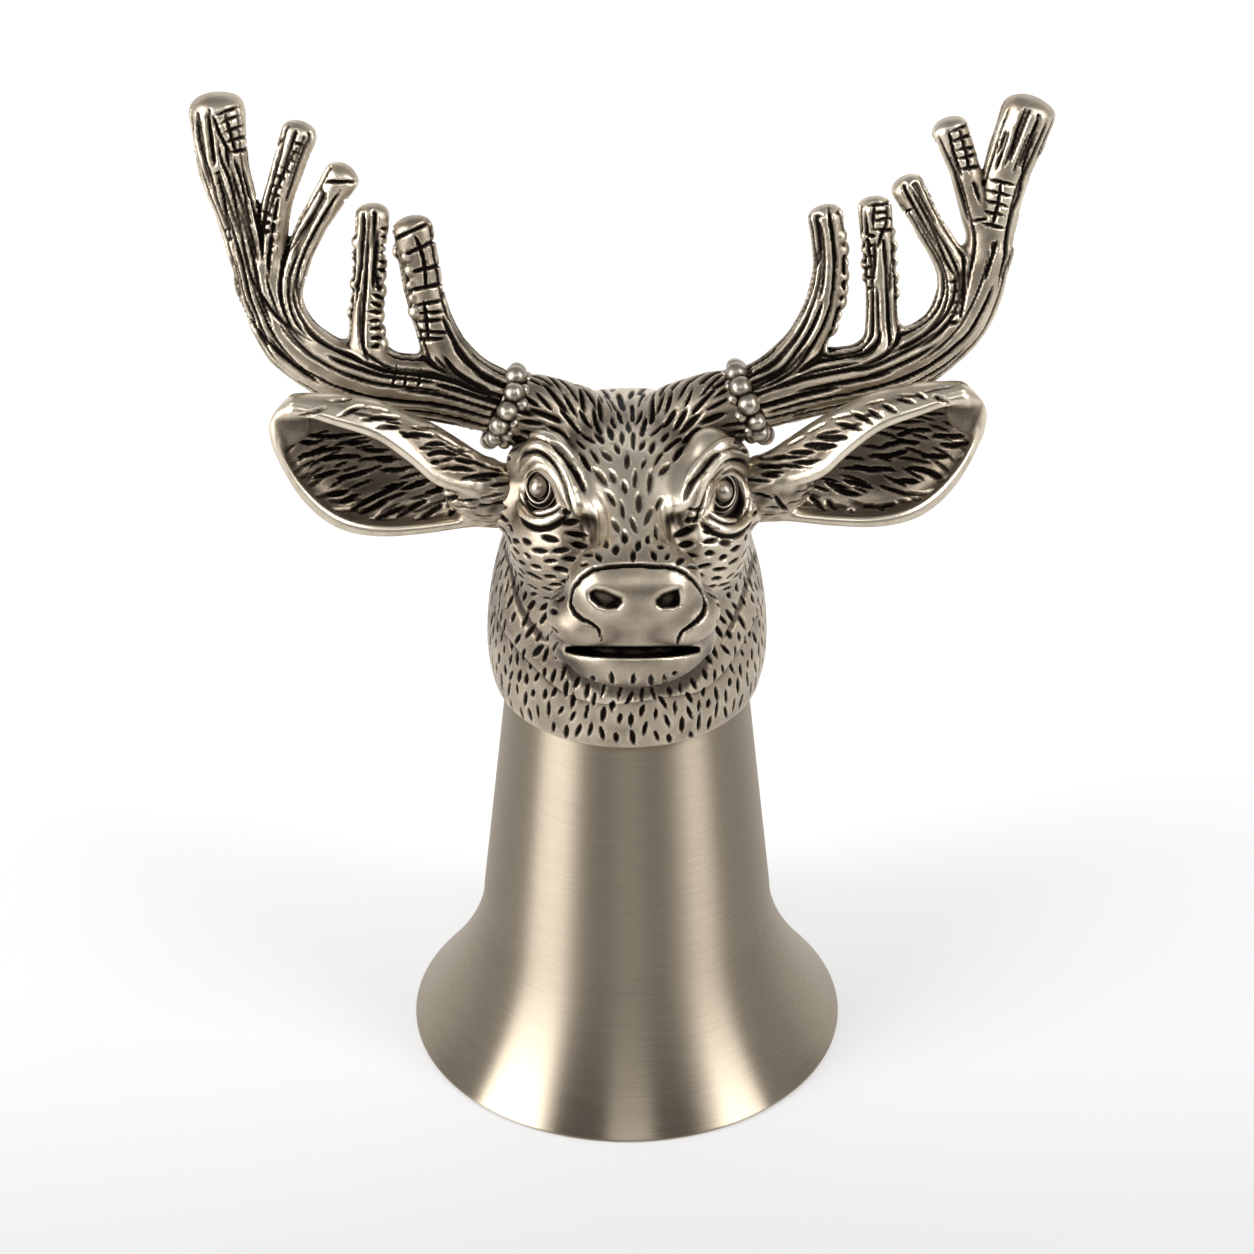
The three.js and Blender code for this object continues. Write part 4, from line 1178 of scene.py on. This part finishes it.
leftLimbs = [
    [(1.4, 0.5, 3.9), (7.9, 1.7, 3.9), (14.6, 2, 3.9), (21.1, 3.6, 3.7), (26.5, 7.7, 3.3),
        (29.1, 13, 2.8), (31.6, 20.7, 2.7), (33.8, 27.3, 3), (34.6, 33.8, 3.3)],
    [(29.6, 13, 2.2), (28.3, 17.9, 2.1), (27.4, 23.5, 1.8), (24.9, 31.9, 2.1)],
    [(25.6, 6.2, 2.6), (26.2, 12, 1.9), (23.9, 19.4, 1.7), (19.8, 27, 2.1)],
    [(15.6, 2.6, 2.8), (16.7, 8, 2), (16.5, 14, 1.8), (16.1, 22.6, 2)],
    [(3, 1.6, 3.2), (7.2, 6.6, 2.6), (9.4, 12, 2.3), (10.5, 17, 2.4), (11.3, 21, 2.4)],
]
rightLimbs = [
    [(1.4, 0.5, 3.9), (8.7, 1.5, 3.9), (15.9, 2.2, 3.9), (22.4, 4.7, 3.6), (27.4, 9.5, 3.2),
        (29.8, 16.7, 2.7), (31.6, 23.8, 2.8), (34, 29.8, 3.2), (34.8, 31.7, 3.3)],
    [(29.9, 16, 2.3), (28.6, 20.2, 2.1), (27, 26, 1.9), (25.4, 30.9, 2.2)],
    [(25.5, 7.6, 2.6), (25.3, 13.9, 2), (22.8, 19, 1.8), (20.1, 24.5, 2)],
    [(16.6, 3.4, 2.7), (16.5, 9, 1.9), (16.5, 15.6, 1.9), (16.1, 22.4, 2)],
    [(3, 1.8, 3.2), (7.4, 7, 2.4), (9.7, 12, 2.1), (10.4, 16.4, 1.9), (10.2, 21.8, 2.1)],
]

# What the camera sees on them: grooves as lines, ladders as (line, half a rung, gap),
# and rows of knobs as (line, radius, gap)
leftGrooves = [
    [(-50.2, 62.1), (-49.3, 59.6), (-47.9, 57.1)],
    [(-48.7, 62.3), (-47.9, 59.6), (-47.3, 57.4)],
    [(-52.1, 61.7), (-51.8, 58.6), (-50.8, 55.6), (-49.6, 52.0)],
    [(-49.6, 55.0), (-48.8, 51.7), (-48.4, 48.7), (-47.9, 46.2)],
    [(-49.7, 59.7), (-49.1, 56.5), (-48.1, 54.1), (-47.0, 49.3), (-45.9, 43.5), (-44.7, 40.8),
        (-42.0, 37.2), (-38.4, 34.7)],
    [(-47.6, 56.8), (-46.5, 53.5), (-45.5, 48.1)],
    [(-48.1, 45.6), (-47.6, 42.6), (-46.8, 39.6), (-45.3, 36.6), (-42.6, 33.5), (-39.9, 31.4),
        (-36.0, 29.6)],
    [(-41.6, 59.3), (-42.9, 57.1), (-44.4, 53.5), (-45.0, 50.5)],
    [(-39.7, 58.3), (-41.1, 55.9), (-42.5, 52.9), (-43.7, 49.3)],
    [(-37.2, 53.5), (-36.9, 52.0), (-38.4, 49.3), (-40.8, 45.6)],
    [(-34.7, 52.9), (-36.9, 49.3), (-39.0, 45.3), (-39.9, 42.0), (-39.6, 38.4)],
    [(-30.2, 48.4), (-30.2, 45.6), (-30.4, 43.2), (-29.9, 40.2)],
    [(-31.7, 49.6), (-31.9, 47.5), (-32.3, 43.5), (-32.9, 39.0)],
    [(-24.3, 49.3), (-22.8, 45.6), (-22.3, 42.9), (-22.2, 39.0)],
    [(-25.7, 47.5), (-24.6, 44.4), (-24.3, 40.8)],
    [(-24.6, 39.6), (-24.3, 37.2), (-24.1, 34.4)],
]
leftLadders = [
    ([(-48.7, 62.7), (-47.6, 60.2), (-46.7, 57.1)], 1.51, 1.27),
    ([(-49.6, 55.0), (-48.8, 51.7), (-48.4, 48.7), (-47.9, 46.2)], 0.39, 1.15),
    ([(-39.7, 58.6), (-40.8, 56.2), (-42.0, 54.1), (-42.8, 51.7), (-43.7, 49.3), (-43.8, 47.8)],
        0.85, 1.15),
    ([(-33.7, 51.7), (-34.3, 50.2), (-36.0, 46.8), (-37.0, 45.0), (-37.9, 43.2), (-38.5, 42.0)],
        0.61, 1.51),
    ([(-34.7, 54.1), (-34.7, 53.4)], 1.82, 3.03),
    ([(-29.0, 48.4), (-29.1, 45.6), (-29.6, 43.2), (-29.9, 40.5), (-30.5, 38.4), (-30.4, 36.0), (-30.2,
        33.8)], 0.97, 1.03),
    ([(-26.3, 48.1), (-25.1, 45.6), (-24.3, 42.9), (-23.8, 40.5)], 2.6, 2.42),
    ([(-24.0, 39.3), (-23.8, 37.5), (-23.7, 34.1)], 1.66, 1.09),
    ([(-28.4, 30.4), (-26.7, 30.1), (-25.1, 29.9)], 1.36, 1.51),
]
leftKnobs = [
    ([(-28.4, 45.6), (-28.7, 43.5), (-29.0, 39.0), (-29.5, 34.1)], 0.48, 1.27),
    ([(-26.8, 45.0), (-26.5, 43.8), (-26.1, 40.5), (-25.7, 36.6)], 0.45, 1.36),
    ([(-32.9, 46.8), (-33.2, 43.2), (-33.5, 39.0), (-33.5, 36.6)], 0.39, 1.36),
    ([(-42.6, 49.3), (-42.9, 46.8), (-42.7, 44.4)], 0.39, 1.36),
]
rightGrooves = [
    [(40.2, 60.6), (41.1, 57.4), (41.5, 55.0)],
    [(38.9, 60.2), (39.6, 57.1), (40.5, 54.4)],
    [(45.3, 54.1), (44.9, 51.1), (44.2, 48.4)],
    [(34.3, 53.2), (35.5, 51.1), (37.0, 48.1), (38.5, 44.4), (40.0, 42.0)],
    [(30.0, 51.4), (29.8, 49.3), (29.9, 48.1)],
    [(31.4, 51.4), (31.6, 49.3), (30.9, 47.5), (30.2, 45.6)],
    [(30.0, 46.8), (29.9, 43.8), (29.4, 40.8)],
    [(24.4, 50.8), (24.6, 49.3), (25.2, 45.0), (25.3, 43.2)],
    [(23.2, 49.3), (23.4, 46.5), (22.8, 43.2)],
    [(48.3, 62.9), (47.0, 59.3), (46.4, 56.2)],
    [(49.7, 60.2), (48.2, 56.2), (47.6, 52.6), (46.4, 49.3)],
    [(45.9, 60.2), (44.8, 57.1)],
    [(50.3, 58.3), (49.1, 54.1), (47.3, 48.1), (46.1, 43.2)],
    [(40.5, 43.2), (40.8, 40.5), (40.3, 37.2)],
    [(32.1, 47.5), (32.1, 44.4), (31.8, 40.2)],
    [(43.3, 42.0), (43.9, 43.8), (44.8, 46.8)],
]
rightLadders = [
    ([(40.2, 60.5), (41.1, 58.0), (41.8, 55.0)], 1.66, 1.21),
    ([(45.5, 54.1), (45.0, 51.4), (44.3, 48.4)], 1.57, 1.36),
    ([(34.0, 50.6), (35.0, 48.5)], 0.73, 2.27),
    ([(39.6, 42.0), (39.9, 39.9), (39.6, 37.8), (39.5, 36.0)], 0.76, 1.27),
    ([(30.6, 51.4), (30.8, 49.9), (30.9, 48.1)], 1.36, 1.03),
    ([(29.6, 47.5), (29.6, 45.0), (29.4, 42.6), (29.4, 40.8)], 0.67, 1.27),
    ([(42.7, 49.4), (42.8, 48.7)], 1.06, 1.82),
]
rightKnobs = [
    ([(26.1, 47.5), (26.6, 45.0), (26.8, 42.6), (26.8, 39.6), (26.3, 37.8), (26.0, 36.4),
        (25.4, 35.2)], 0.61, 1.33),
    ([(28.8, 47.5), (28.7, 44.4), (28.7, 40.8)], 0.39, 1.36),
    ([(32.8, 48.1), (32.9, 44.4), (32.8, 40.2)], 0.39, 1.51),
]
antlers = {
    "left": (leftLimbs, leftGrooves, leftLadders, leftKnobs),
    "right": (rightLimbs, rightGrooves, rightLadders, rightKnobs),
}
antlerCast = {
    "lean": 16,  # degrees backwards, up the antler and out along it
    "sweep": 8,
    "flatness": 0.88,
    "webbing": 1.8,  # mm, how softly limbs run into each other
    "blunt": 0.8,
    "grooveEvery": 1.1,
    "grooveLong": 8.0,
    "groove": (0.34, 0.42),  # width and depth of the grooves that the camera sees, and of rungs
    "rung": (0.28, 0.42),
}

for name, side in leftAndRight:
    limbLines, grooves, ladders, knobRows = antlers[name]
    lean, back = math.radians(antlerCast["lean"]), math.radians(antlerCast["sweep"])
    outU = np.array([side * math.cos(back), math.sin(back), 0])
    backwards = np.array([-side * math.sin(back), math.cos(back), 0])
    upV = np.array([0, 0, math.cos(lean)]) + backwards * math.sin(lean)
    across = unit(np.cross(outU, upV))
    origin = burrAt * (side, 1, 1)
    plane = np.stack([outU, upV, across / antlerCast["flatness"]], 1)
    limbs = []
    for limb in limbLines:
        line = eased(limb, 2.2)
        limbs.append((line, line[:, :2].min(axis=0) - 7.5, line[:, :2].max(axis=0) + 7.5))

    def antlerClay(p):
        local = (p - origin) @ plane
        d = np.full(len(p), 9.0)
        for line, low, high in limbs:
            near = np.nonzero(((local[:, :2] > low) & (local[:, :2] < high)).all(axis=1))[0]
            q = local[near]
            own = np.full(len(near), 9.0)
            for a, b in zip(line, line[1:]):
                own = np.minimum(own, rod(q, (a[0], a[1], 0), a[2], (b[0], b[1], 0), b[2]))
            off = q[:, :2] - line[-1, :2]
            way = unit((line[-1] - line[-3])[:2])
            past = off @ way - antlerCast["blunt"] * line[-1, 2]
            blunt = np.where(dot(off, off) < (2 * line[-1, 2]) ** 2, past, -9)
            webbing = antlerCast["webbing"] - 1.4 * ease(q[:, 1], 15, 19)
            d[near] = blend(d[near], cutFrom(own, -blunt, 2.0), webbing)
        d = d + 0.07 * lumps(p, 3.1)
        return np.maximum(d, 0.9 - (p - origin) @ burrAxis(side))

    knobs = []
    for line, radius, gap in knobRows:
        knobs += [(row[1], radius) for row in rungs(line, 0.05, 1.25 * gap)]
    knobAt = onSight([at for at, _ in knobs], antlerClay)
    sizes = np.array([radius for _, radius in knobs]) * draws.uniform(1.0, 1.6, len(knobs))
    knobAt -= outwards(antlerClay, knobAt) * 0.8 * sizes[:, None]

    def antlerCasting(p):
        d = antlerClay(p)
        for at, size in zip(knobAt, sizes):
            near = np.nonzero(np.abs(p - at).max(axis=1) < 2.4)[0]
            if len(near):
                d[near] = blend(d[near], ball(p[near], at, (size * 1.5,) * 3), 0.12)
        return d

    ends = [(origin + line[-1][0] * outU + line[-1][1] * upV, line[-1][2]) for line, _, _ in limbs]
    ways = [unit((line[-1] - line[-3])[:2]) @ np.stack([outU, upV]) for line, _, _ in limbs]
    tablets = [(eased(line, 0.3), 0.85 * half) for line, half, _ in ladders if half > 0.9]

    # Ends a groove short of a limb's tip and of the squares between rungs
    def shortened(line):
        for (end, radius), way in zip(ends, ways):
            off = line - end
            line = line[~((off @ way > 0.35 * radius) & (np.linalg.norm(off, axis=1) < 2 * radius))]
        for middle, half in tablets:
            off = sightOf(line)[:, None] - middle[None]
            line = line[(off**2).sum(axis=2).min(axis=1) > half * half] if len(line) else line
        return line

    def antlerFlow(p, n):
        local = (p - origin) @ plane
        way = np.zeros((len(p), 3))
        for line, _, _ in limbs:
            for a, b in zip(line, line[1:]):
                gap = rod(local, (a[0], a[1], 0), a[2], (b[0], b[1], 0), b[2])
                t = unit((b - a)[:2])
                t = t[0] * outU + t[1] * upV
                way += np.exp(-np.clip(gap, -1, 20) / 0.5)[:, None] * t
        return alongSkin(way, n)

    low = np.array([8.0 if side > 0 else -52.5, -3, 83.5])
    high = np.array([52.5 if side > 0 else -8.0, 20.5, 126])
    points, normals, quads = moulded(antlerCasting, low, high, 0.42)
    flow = antlerFlow(points, normals)
    size = len(points)
    order = (points - origin) @ outU + draws.normal(0, 3, size)
    outer = ease((points - origin) @ outU, 12, 24)
    apart = antlerCast["grooveEvery"] * (1 + 0.2 * outer)
    chosen = strewn(points, normals, flow, apart, np.full(size, antlerCast["grooveLong"]), order)
    lengths = antlerCast["grooveLong"] * draws.uniform(1.0, 2.4, len(chosen))
    grain = combed(points[chosen], antlerClay, antlerFlow, lengths, 8)
    widths = draws.uniform(0.26, 0.44, len(chosen)) * (1 - 0.15 * outer[chosen])
    strokes = [(shortened(line), width, 1.15 * width) for line, width in zip(grain, widths)]
    strokes = [stroke for stroke in strokes if len(stroke[0]) > 1]
    print(len(strokes), "antler grooves")
    for behindIt in (False, True):
        strokes += drawnOn(antlerClay, grooves, *antlerCast["groove"], behindIt)
        for ladder in ladders:
            strokes += drawnOn(antlerClay, rungs(*ladder), *antlerCast["rung"], behindIt)
    out = (points - origin) @ outU
    points, groove = engraved(points, normals, strokes)
    hollow = hollows(points, quads, normals)
    # darker near the burr, on the left a little more than on the right: partly the black round the burr,
    # partly painted shade over the base beam, which lies in shade under the ears
    patinaAndPaintedShading = 0.4 + (0.15 - 0.06 * side) * (1 - ease(out, 5, 20)) + hollow + 0.8 * groove
    patinaAndPaintedShading = np.clip(patinaAndPaintedShading + 0.08 * lumps(points, 9), 0, 1.2)
    piece("antler" + name.title(), points, quads, *pewter, "antler_" + name, patinaAndPaintedShading, mostTriangles)


# The ears: leaf-shaped troughs that open forwards

ear = {
    "length": 31.4,
    "halfWidth": 8.6,
    "depthShare": 0.58,
    "wall": 1.3,
    "rimBead": 0.16,
    "rise": 21,
    "leaf": [(0, 0.42), (0.13, 0.52), (0.3, 0.76), (0.41, 0.9), (0.51, 0.98), (0.63, 1), (0.77, 0.86),
             (0.88, 0.64), (0.96, 0.4), (1, 0.22)],
    "upperEdge": [(0, 150), (0.2, 155), (0.36, 152), (0.46, 140), (0.6, 128), (0.8, 124), (1, 120)],
    "lowerEdge": -113,
    "hook": [(0, 0), (0.3, -0.8), (0.6, -0.9), (0.8, 0.3), (1, 2.6)],
    "tip": (2.3, 2.1, 0.1),  # its middle: short of the length, up and forwards
    "tipSize": (2.4, 1.1, 3.0),
    "backHair": {"across": 1.7, "along": 4.2, "long": (2.0, 3.8), "width": 0.3},
    "troughHair": {"across": 1.0, "along": 3.4, "long": (2.0, 4.6), "width": 0.25},
    "most": 150000,  # triangles
}
# marks near the upper edge, then the strokes in the trough
leftEarMarks = [
    [(-39.9, 25.6), (-38.1, 25.9), (-36.4, 26.5)],
    [(-35.0, 25.4), (-33.5, 26.1), (-31.6, 26.9)],
    [(-32.2, 25.1), (-29.9, 25.3), (-27.5, 25.3)],
    [(-30.6, 24.1), (-28.9, 24.2), (-27.5, 24.1)],
    [(-28.6, 27.1), (-26.5, 26.6), (-23.8, 25.7)],
    [(-27.2, 23.1), (-25.3, 23.3), (-23.4, 23.1)],
    [(-24.6, 22.0), (-23.1, 22.2), (-21.7, 22.1)],
    [(-24.3, 20.8), (-22.6, 21.2), (-20.5, 20.8)],
    [(-25.5, 24.2), (-23.8, 24.2), (-22.6, 24.0)],
    [(-20.6, 21.5), (-19.7, 21.4), (-19.0, 21.3)],
    [(-21.2, 20.5), (-19.7, 20.1), (-17.8, 19.9)],
    [(-21.9, 19.1), (-20.2, 19.2), (-18.4, 18.9)],
    [(-20.2, 17.8), (-18.3, 18.2), (-15.1, 18.5)],
    [(-23.8, 19.9), (-22.6, 20.0)],
    [(-35.7, 27.5), (-34.3, 27.5), (-33.0, 27.8)],
]
rightEarMarks = [
    [(27.1, 26.0), (28.4, 25.4), (29.9, 24.6)],
    [(25.3, 24.7), (27.0, 24.3), (28.7, 23.8)],
    [(29.2, 26.3), (30.1, 25.7), (31.1, 25.3)],
    [(30.9, 26.9), (31.8, 26.4), (32.8, 25.9)],
    [(32.4, 27.7), (33.8, 27.4), (35.0, 27.0)],
    [(34.7, 28.3), (35.5, 28.0), (36.3, 27.5)],
    [(36.9, 28.0), (38.1, 27.5), (39.1, 27.1)],
    [(23.0, 23.0), (24.6, 23.0), (26.8, 22.9)],
    [(21.4, 22.0), (23.4, 22.0), (25.5, 21.9)],
    [(19.5, 21.1), (21.2, 21.1), (22.9, 21.2)],
    [(20.0, 19.9), (21.2, 19.9), (23.0, 19.9)],
    [(15.6, 20.5), (17.3, 20.5), (19.5, 20.6)],
    [(15.9, 19.4), (17.3, 19.4), (19.0, 19.4)],
    [(16.1, 18.5), (17.3, 18.4), (18.6, 18.3)],
]
leftEarStrokes = [
    [(-40.6, 22.8), (-39.6, 22.4), (-37.4, 22.3)],
    [(-39.9, 20.6), (-38.4, 20.9), (-36.4, 21.4), (-34.3, 21.7)],
    [(-37.2, 20.2), (-34.7, 20.6), (-32.1, 20.6)],
    [(-38.1, 18.0), (-36.4, 18.5), (-34.7, 19.0)],
    [(-35.2, 18.0), (-33.5, 18.3), (-30.9, 19.0)],
    [(-36.7, 16.0), (-35.2, 16.1), (-33.5, 16.6)],
    [(-35.1, 15.0), (-34.0, 15.4), (-32.3, 16.1)],
    [(-33.7, 13.9), (-31.8, 15.1), (-29.4, 16.3), (-26.5, 17.6)],
    [(-32.6, 13.7), (-30.9, 14.4), (-28.9, 15.4)],
    [(-30.6, 13.0), (-28.9, 13.8), (-26.5, 14.6)],
    [(-28.0, 13.2), (-26.5, 14.2), (-24.1, 15.4)],
    [(-26.4, 12.5), (-24.6, 13.4), (-22.2, 14.9)],
    [(-23.4, 12.3), (-22.2, 13.1), (-20.7, 14.2)],
    [(-38.6, 23.2), (-36.4, 23.1), (-34.3, 23.1)],
    [(-34.7, 22.4), (-32.8, 22.3), (-30.9, 22.6)],
    [(-30.9, 20.5), (-28.9, 20.2), (-26.5, 20.5)],
    [(-29.9, 19.0), (-27.5, 19.0), (-25.1, 19.7)],
    [(-27.5, 16.6), (-25.1, 17.3), (-22.6, 17.8)],
    [(-24.6, 16.1), (-22.6, 16.6), (-20.7, 16.8)],
    [(-32.3, 21.5), (-29.9, 21.4), (-28.4, 21.5)],
    [(-22.6, 15.6), (-21.2, 15.6), (-20.0, 16.1)],
]
rightEarStrokes = [
    [(39.1, 24.2), (40.3, 24.2), (42.0, 24.0)],
    [(37.9, 22.2), (39.3, 22.0), (41.8, 22.3)],
    [(35.5, 20.6), (36.9, 20.7), (38.9, 20.6)],
    [(33.8, 19.2), (36.0, 19.0), (38.6, 17.8)],
    [(32.1, 17.6), (33.8, 17.7), (35.5, 17.6)],
    [(32.6, 23.1), (34.5, 23.8), (36.9, 23.8)],
    [(30.6, 21.7), (33.0, 22.4), (35.5, 22.3)],
    [(29.2, 20.7), (31.6, 20.7), (34.0, 21.4)],
    [(27.5, 19.5), (29.2, 19.1), (32.1, 19.2)],
    [(26.0, 17.8), (28.0, 17.3), (29.9, 16.8)],
    [(24.8, 16.8), (26.5, 16.3), (28.4, 16.0)],
    [(26.8, 14.2), (28.7, 13.3), (30.6, 12.5)],
    [(30.4, 14.4), (32.1, 13.7), (33.8, 12.8)],
    [(24.1, 15.4), (25.8, 13.7), (28.0, 12.3)],
    [(21.7, 16.3), (23.4, 14.6), (25.5, 12.6)],
    [(17.8, 16.1), (18.8, 14.6), (20.0, 13.7)],
    [(34.5, 15.6), (36.0, 15.4), (37.2, 15.6)],
    [(28.2, 14.6), (30.6, 14.6), (32.8, 14.9)],
    [(36.9, 23.1), (38.9, 23.1), (40.8, 23.1)],
    [(23.8, 17.6), (25.1, 17.1), (26.8, 16.8)],
]

for name, side in leftAndRight:
    rise = math.radians(ear["rise"])
    along = unit((side * math.cos(rise), -0.06, math.sin(rise)))
    backwards = unit(np.array([0, 1, 0]) - along * along[1])
    upwards = np.cross(backwards, along) * -side
    root = np.array([side * (skull["x"] - 0.6), -3.0, skullZ - 1.0])
    seat = root + along * leaving(headClay, root, along)
    short, up, forwards = ear["tip"]
    tip = root + along * (ear["length"] - short) + upwards * up - backwards * forwards
    leafwise = np.stack([along, backwards, upwards], 1)

    # How far points lie outside the leaf, and from the middle of its rim
    def leaf(p):
        d = p - root
        s = d @ along / ear["length"]
        share = np.clip(s, 0, 1)
        half = ear["halfWidth"] * curve(ear["leaf"], share)
        depth = half * ear["depthShare"]
        wall = np.minimum(ear["wall"], np.minimum(half * 0.5, depth * 0.6))
        y, z = d @ backwards, d @ upwards - curve(ear["hook"], share)
        a, b = depth - wall / 2, half - wall / 2
        angle = np.arctan2(z / b, y / a)
        low, high = math.radians(ear["lowerEdge"]), np.radians(curve(ear["upperEdge"], share))
        middle, reachOf = (low + high) / 2, (high - low) / 2
        off = (angle - middle + np.pi) % (2 * np.pi) - np.pi
        k = np.hypot(y / a, z / b)
        g = np.hypot(y / a**2, z / b**2)
        toArc = np.abs(k * (k - 1) / np.maximum(g, 1e-6))
        toLow = np.hypot(y - a * np.cos(low), z - b * np.sin(low))
        toHigh = np.hypot(y - a * np.cos(high), z - b * np.sin(high))
        sheet = np.where(np.abs(off) < reachOf, toArc, np.minimum(toLow, toHigh)) - wall / 2
        bead = ear["rimBead"] * (1 - ease(share, 0.75, 0.9))
        sheet = blend(sheet, np.minimum(toLow, toHigh) - wall / 2 - bead, 0.3)
        past = np.maximum(s - 0.95, 0) * ear["length"]
        sheet = np.where(past > 0, np.hypot(np.maximum(sheet + 0.5, 0), past) - 0.5, sheet)
        return np.maximum(sheet, -s * ear["length"]), np.minimum(toLow, toHigh)

    def earClay(p):
        local = (p - seat) @ basis(along).T
        stem = ball(local, (0, 0, 0), (3.3, 3.9, 5.6)) + 0.2 * lumps(p, 1.7)
        d = blend(leaf(p)[0], ball((p - tip) @ leafwise, (0, 0, 0), ear["tipSize"]), 1.6)
        return np.maximum(blend(d, stem, 1.0), -headClay(p) - 0.4)

    def earFlow(p, n):
        spread = (p - root) @ upwards * 0.05 - 0.5 * ease(-(n @ backwards), 0, 0.4)
        return alongSkin(along + spread[:, None] * upwards, n)

    def insideRim(stroke):
        line, width, depth = stroke
        kept = (leaf(line)[1] > 1.05) & (np.linalg.norm(line - tip, axis=1) > 3.4)
        return line[kept], width, depth

    low, high = np.minimum(root, tip) - 9.5, np.maximum(root, tip) + 9.5
    low[0], high[0] = (10.5, high[0]) if side > 0 else (low[0], -10.5)
    points, normals, quads = moulded(earClay, low, high, 0.4)
    marks = leftEarMarks if side < 0 else rightEarMarks
    troughLines = leftEarStrokes if side < 0 else rightEarStrokes
    strokes = drawnOn(earClay, marks, 0.34, 0.34)
    strokes += [insideRim(stroke) for stroke in drawnOn(earClay, troughLines, 0.36, 0.42)]
    flow = earFlow(points, normals)
    toRim, out = leaf(points)[1], (points - seat) @ along
    fromBehind = normals @ backwards
    back = (fromBehind > 0.15) & (out > 2)
    trough = (fromBehind < -0.25) & (out > -1) & (toRim > 1.4)
    for where, coat in ((back, ear["backHair"]), (trough, ear["troughHair"])):
        free = np.nonzero(where)[0]
        gaps = np.full(len(free), coat["across"]), np.full(len(free), coat["along"])
        order = draws.uniform(0, 1, len(free))
        chosen = free[strewn(points[free], normals[free], flow[free], *gaps, order)]
        lengths = draws.uniform(*coat["long"], len(chosen))
        hairs = combed(points[chosen], earClay, earFlow, lengths, 4, astray=hair["astray"])
        strokes += [insideRim((line, coat["width"], coat["width"])) for line in hairs]
    strokes = [stroke for stroke in strokes if len(stroke[0]) > 1]
    print(len(strokes), "ear marks")
    points, groove = engraved(points, normals, strokes)
    hollow = hollows(points, quads, normals)
    inside = ease(-fromBehind, 0.2, 0.6) * ease(toRim, 0.9, 1.8)
    # painted light: faces of the ear that turn upwards are made lighter
    upperFoldPaintedLight = ease(normals @ upwards, 0.2, 0.6) * (1 - inside)
    # the trough is made lighter along its lower rim
    rubbed = ease((root - points) @ upwards, -2, 4) * (1 - ease(toRim, 1.5, 5.5)) * (-fromBehind > 0)
    patinaAndPaintedShading = 0.27 - 0.17 * upperFoldPaintedLight + hollow * (1 - 0.5 * rubbed) + 0.7 * groove
    patinaAndPaintedShading = np.clip(patinaAndPaintedShading + 0.37 * inside * (1 - rubbed), 0, 1.2)
    piece("ear" + name.title(), points, quads, *pewter, "ear_" + name, patinaAndPaintedShading, ear["most"])

box = {"cad": cadBox, "visual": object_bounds()}
for key, corners in box.items():
    box[key] = [[float(v) for v in corner] for corner in corners]
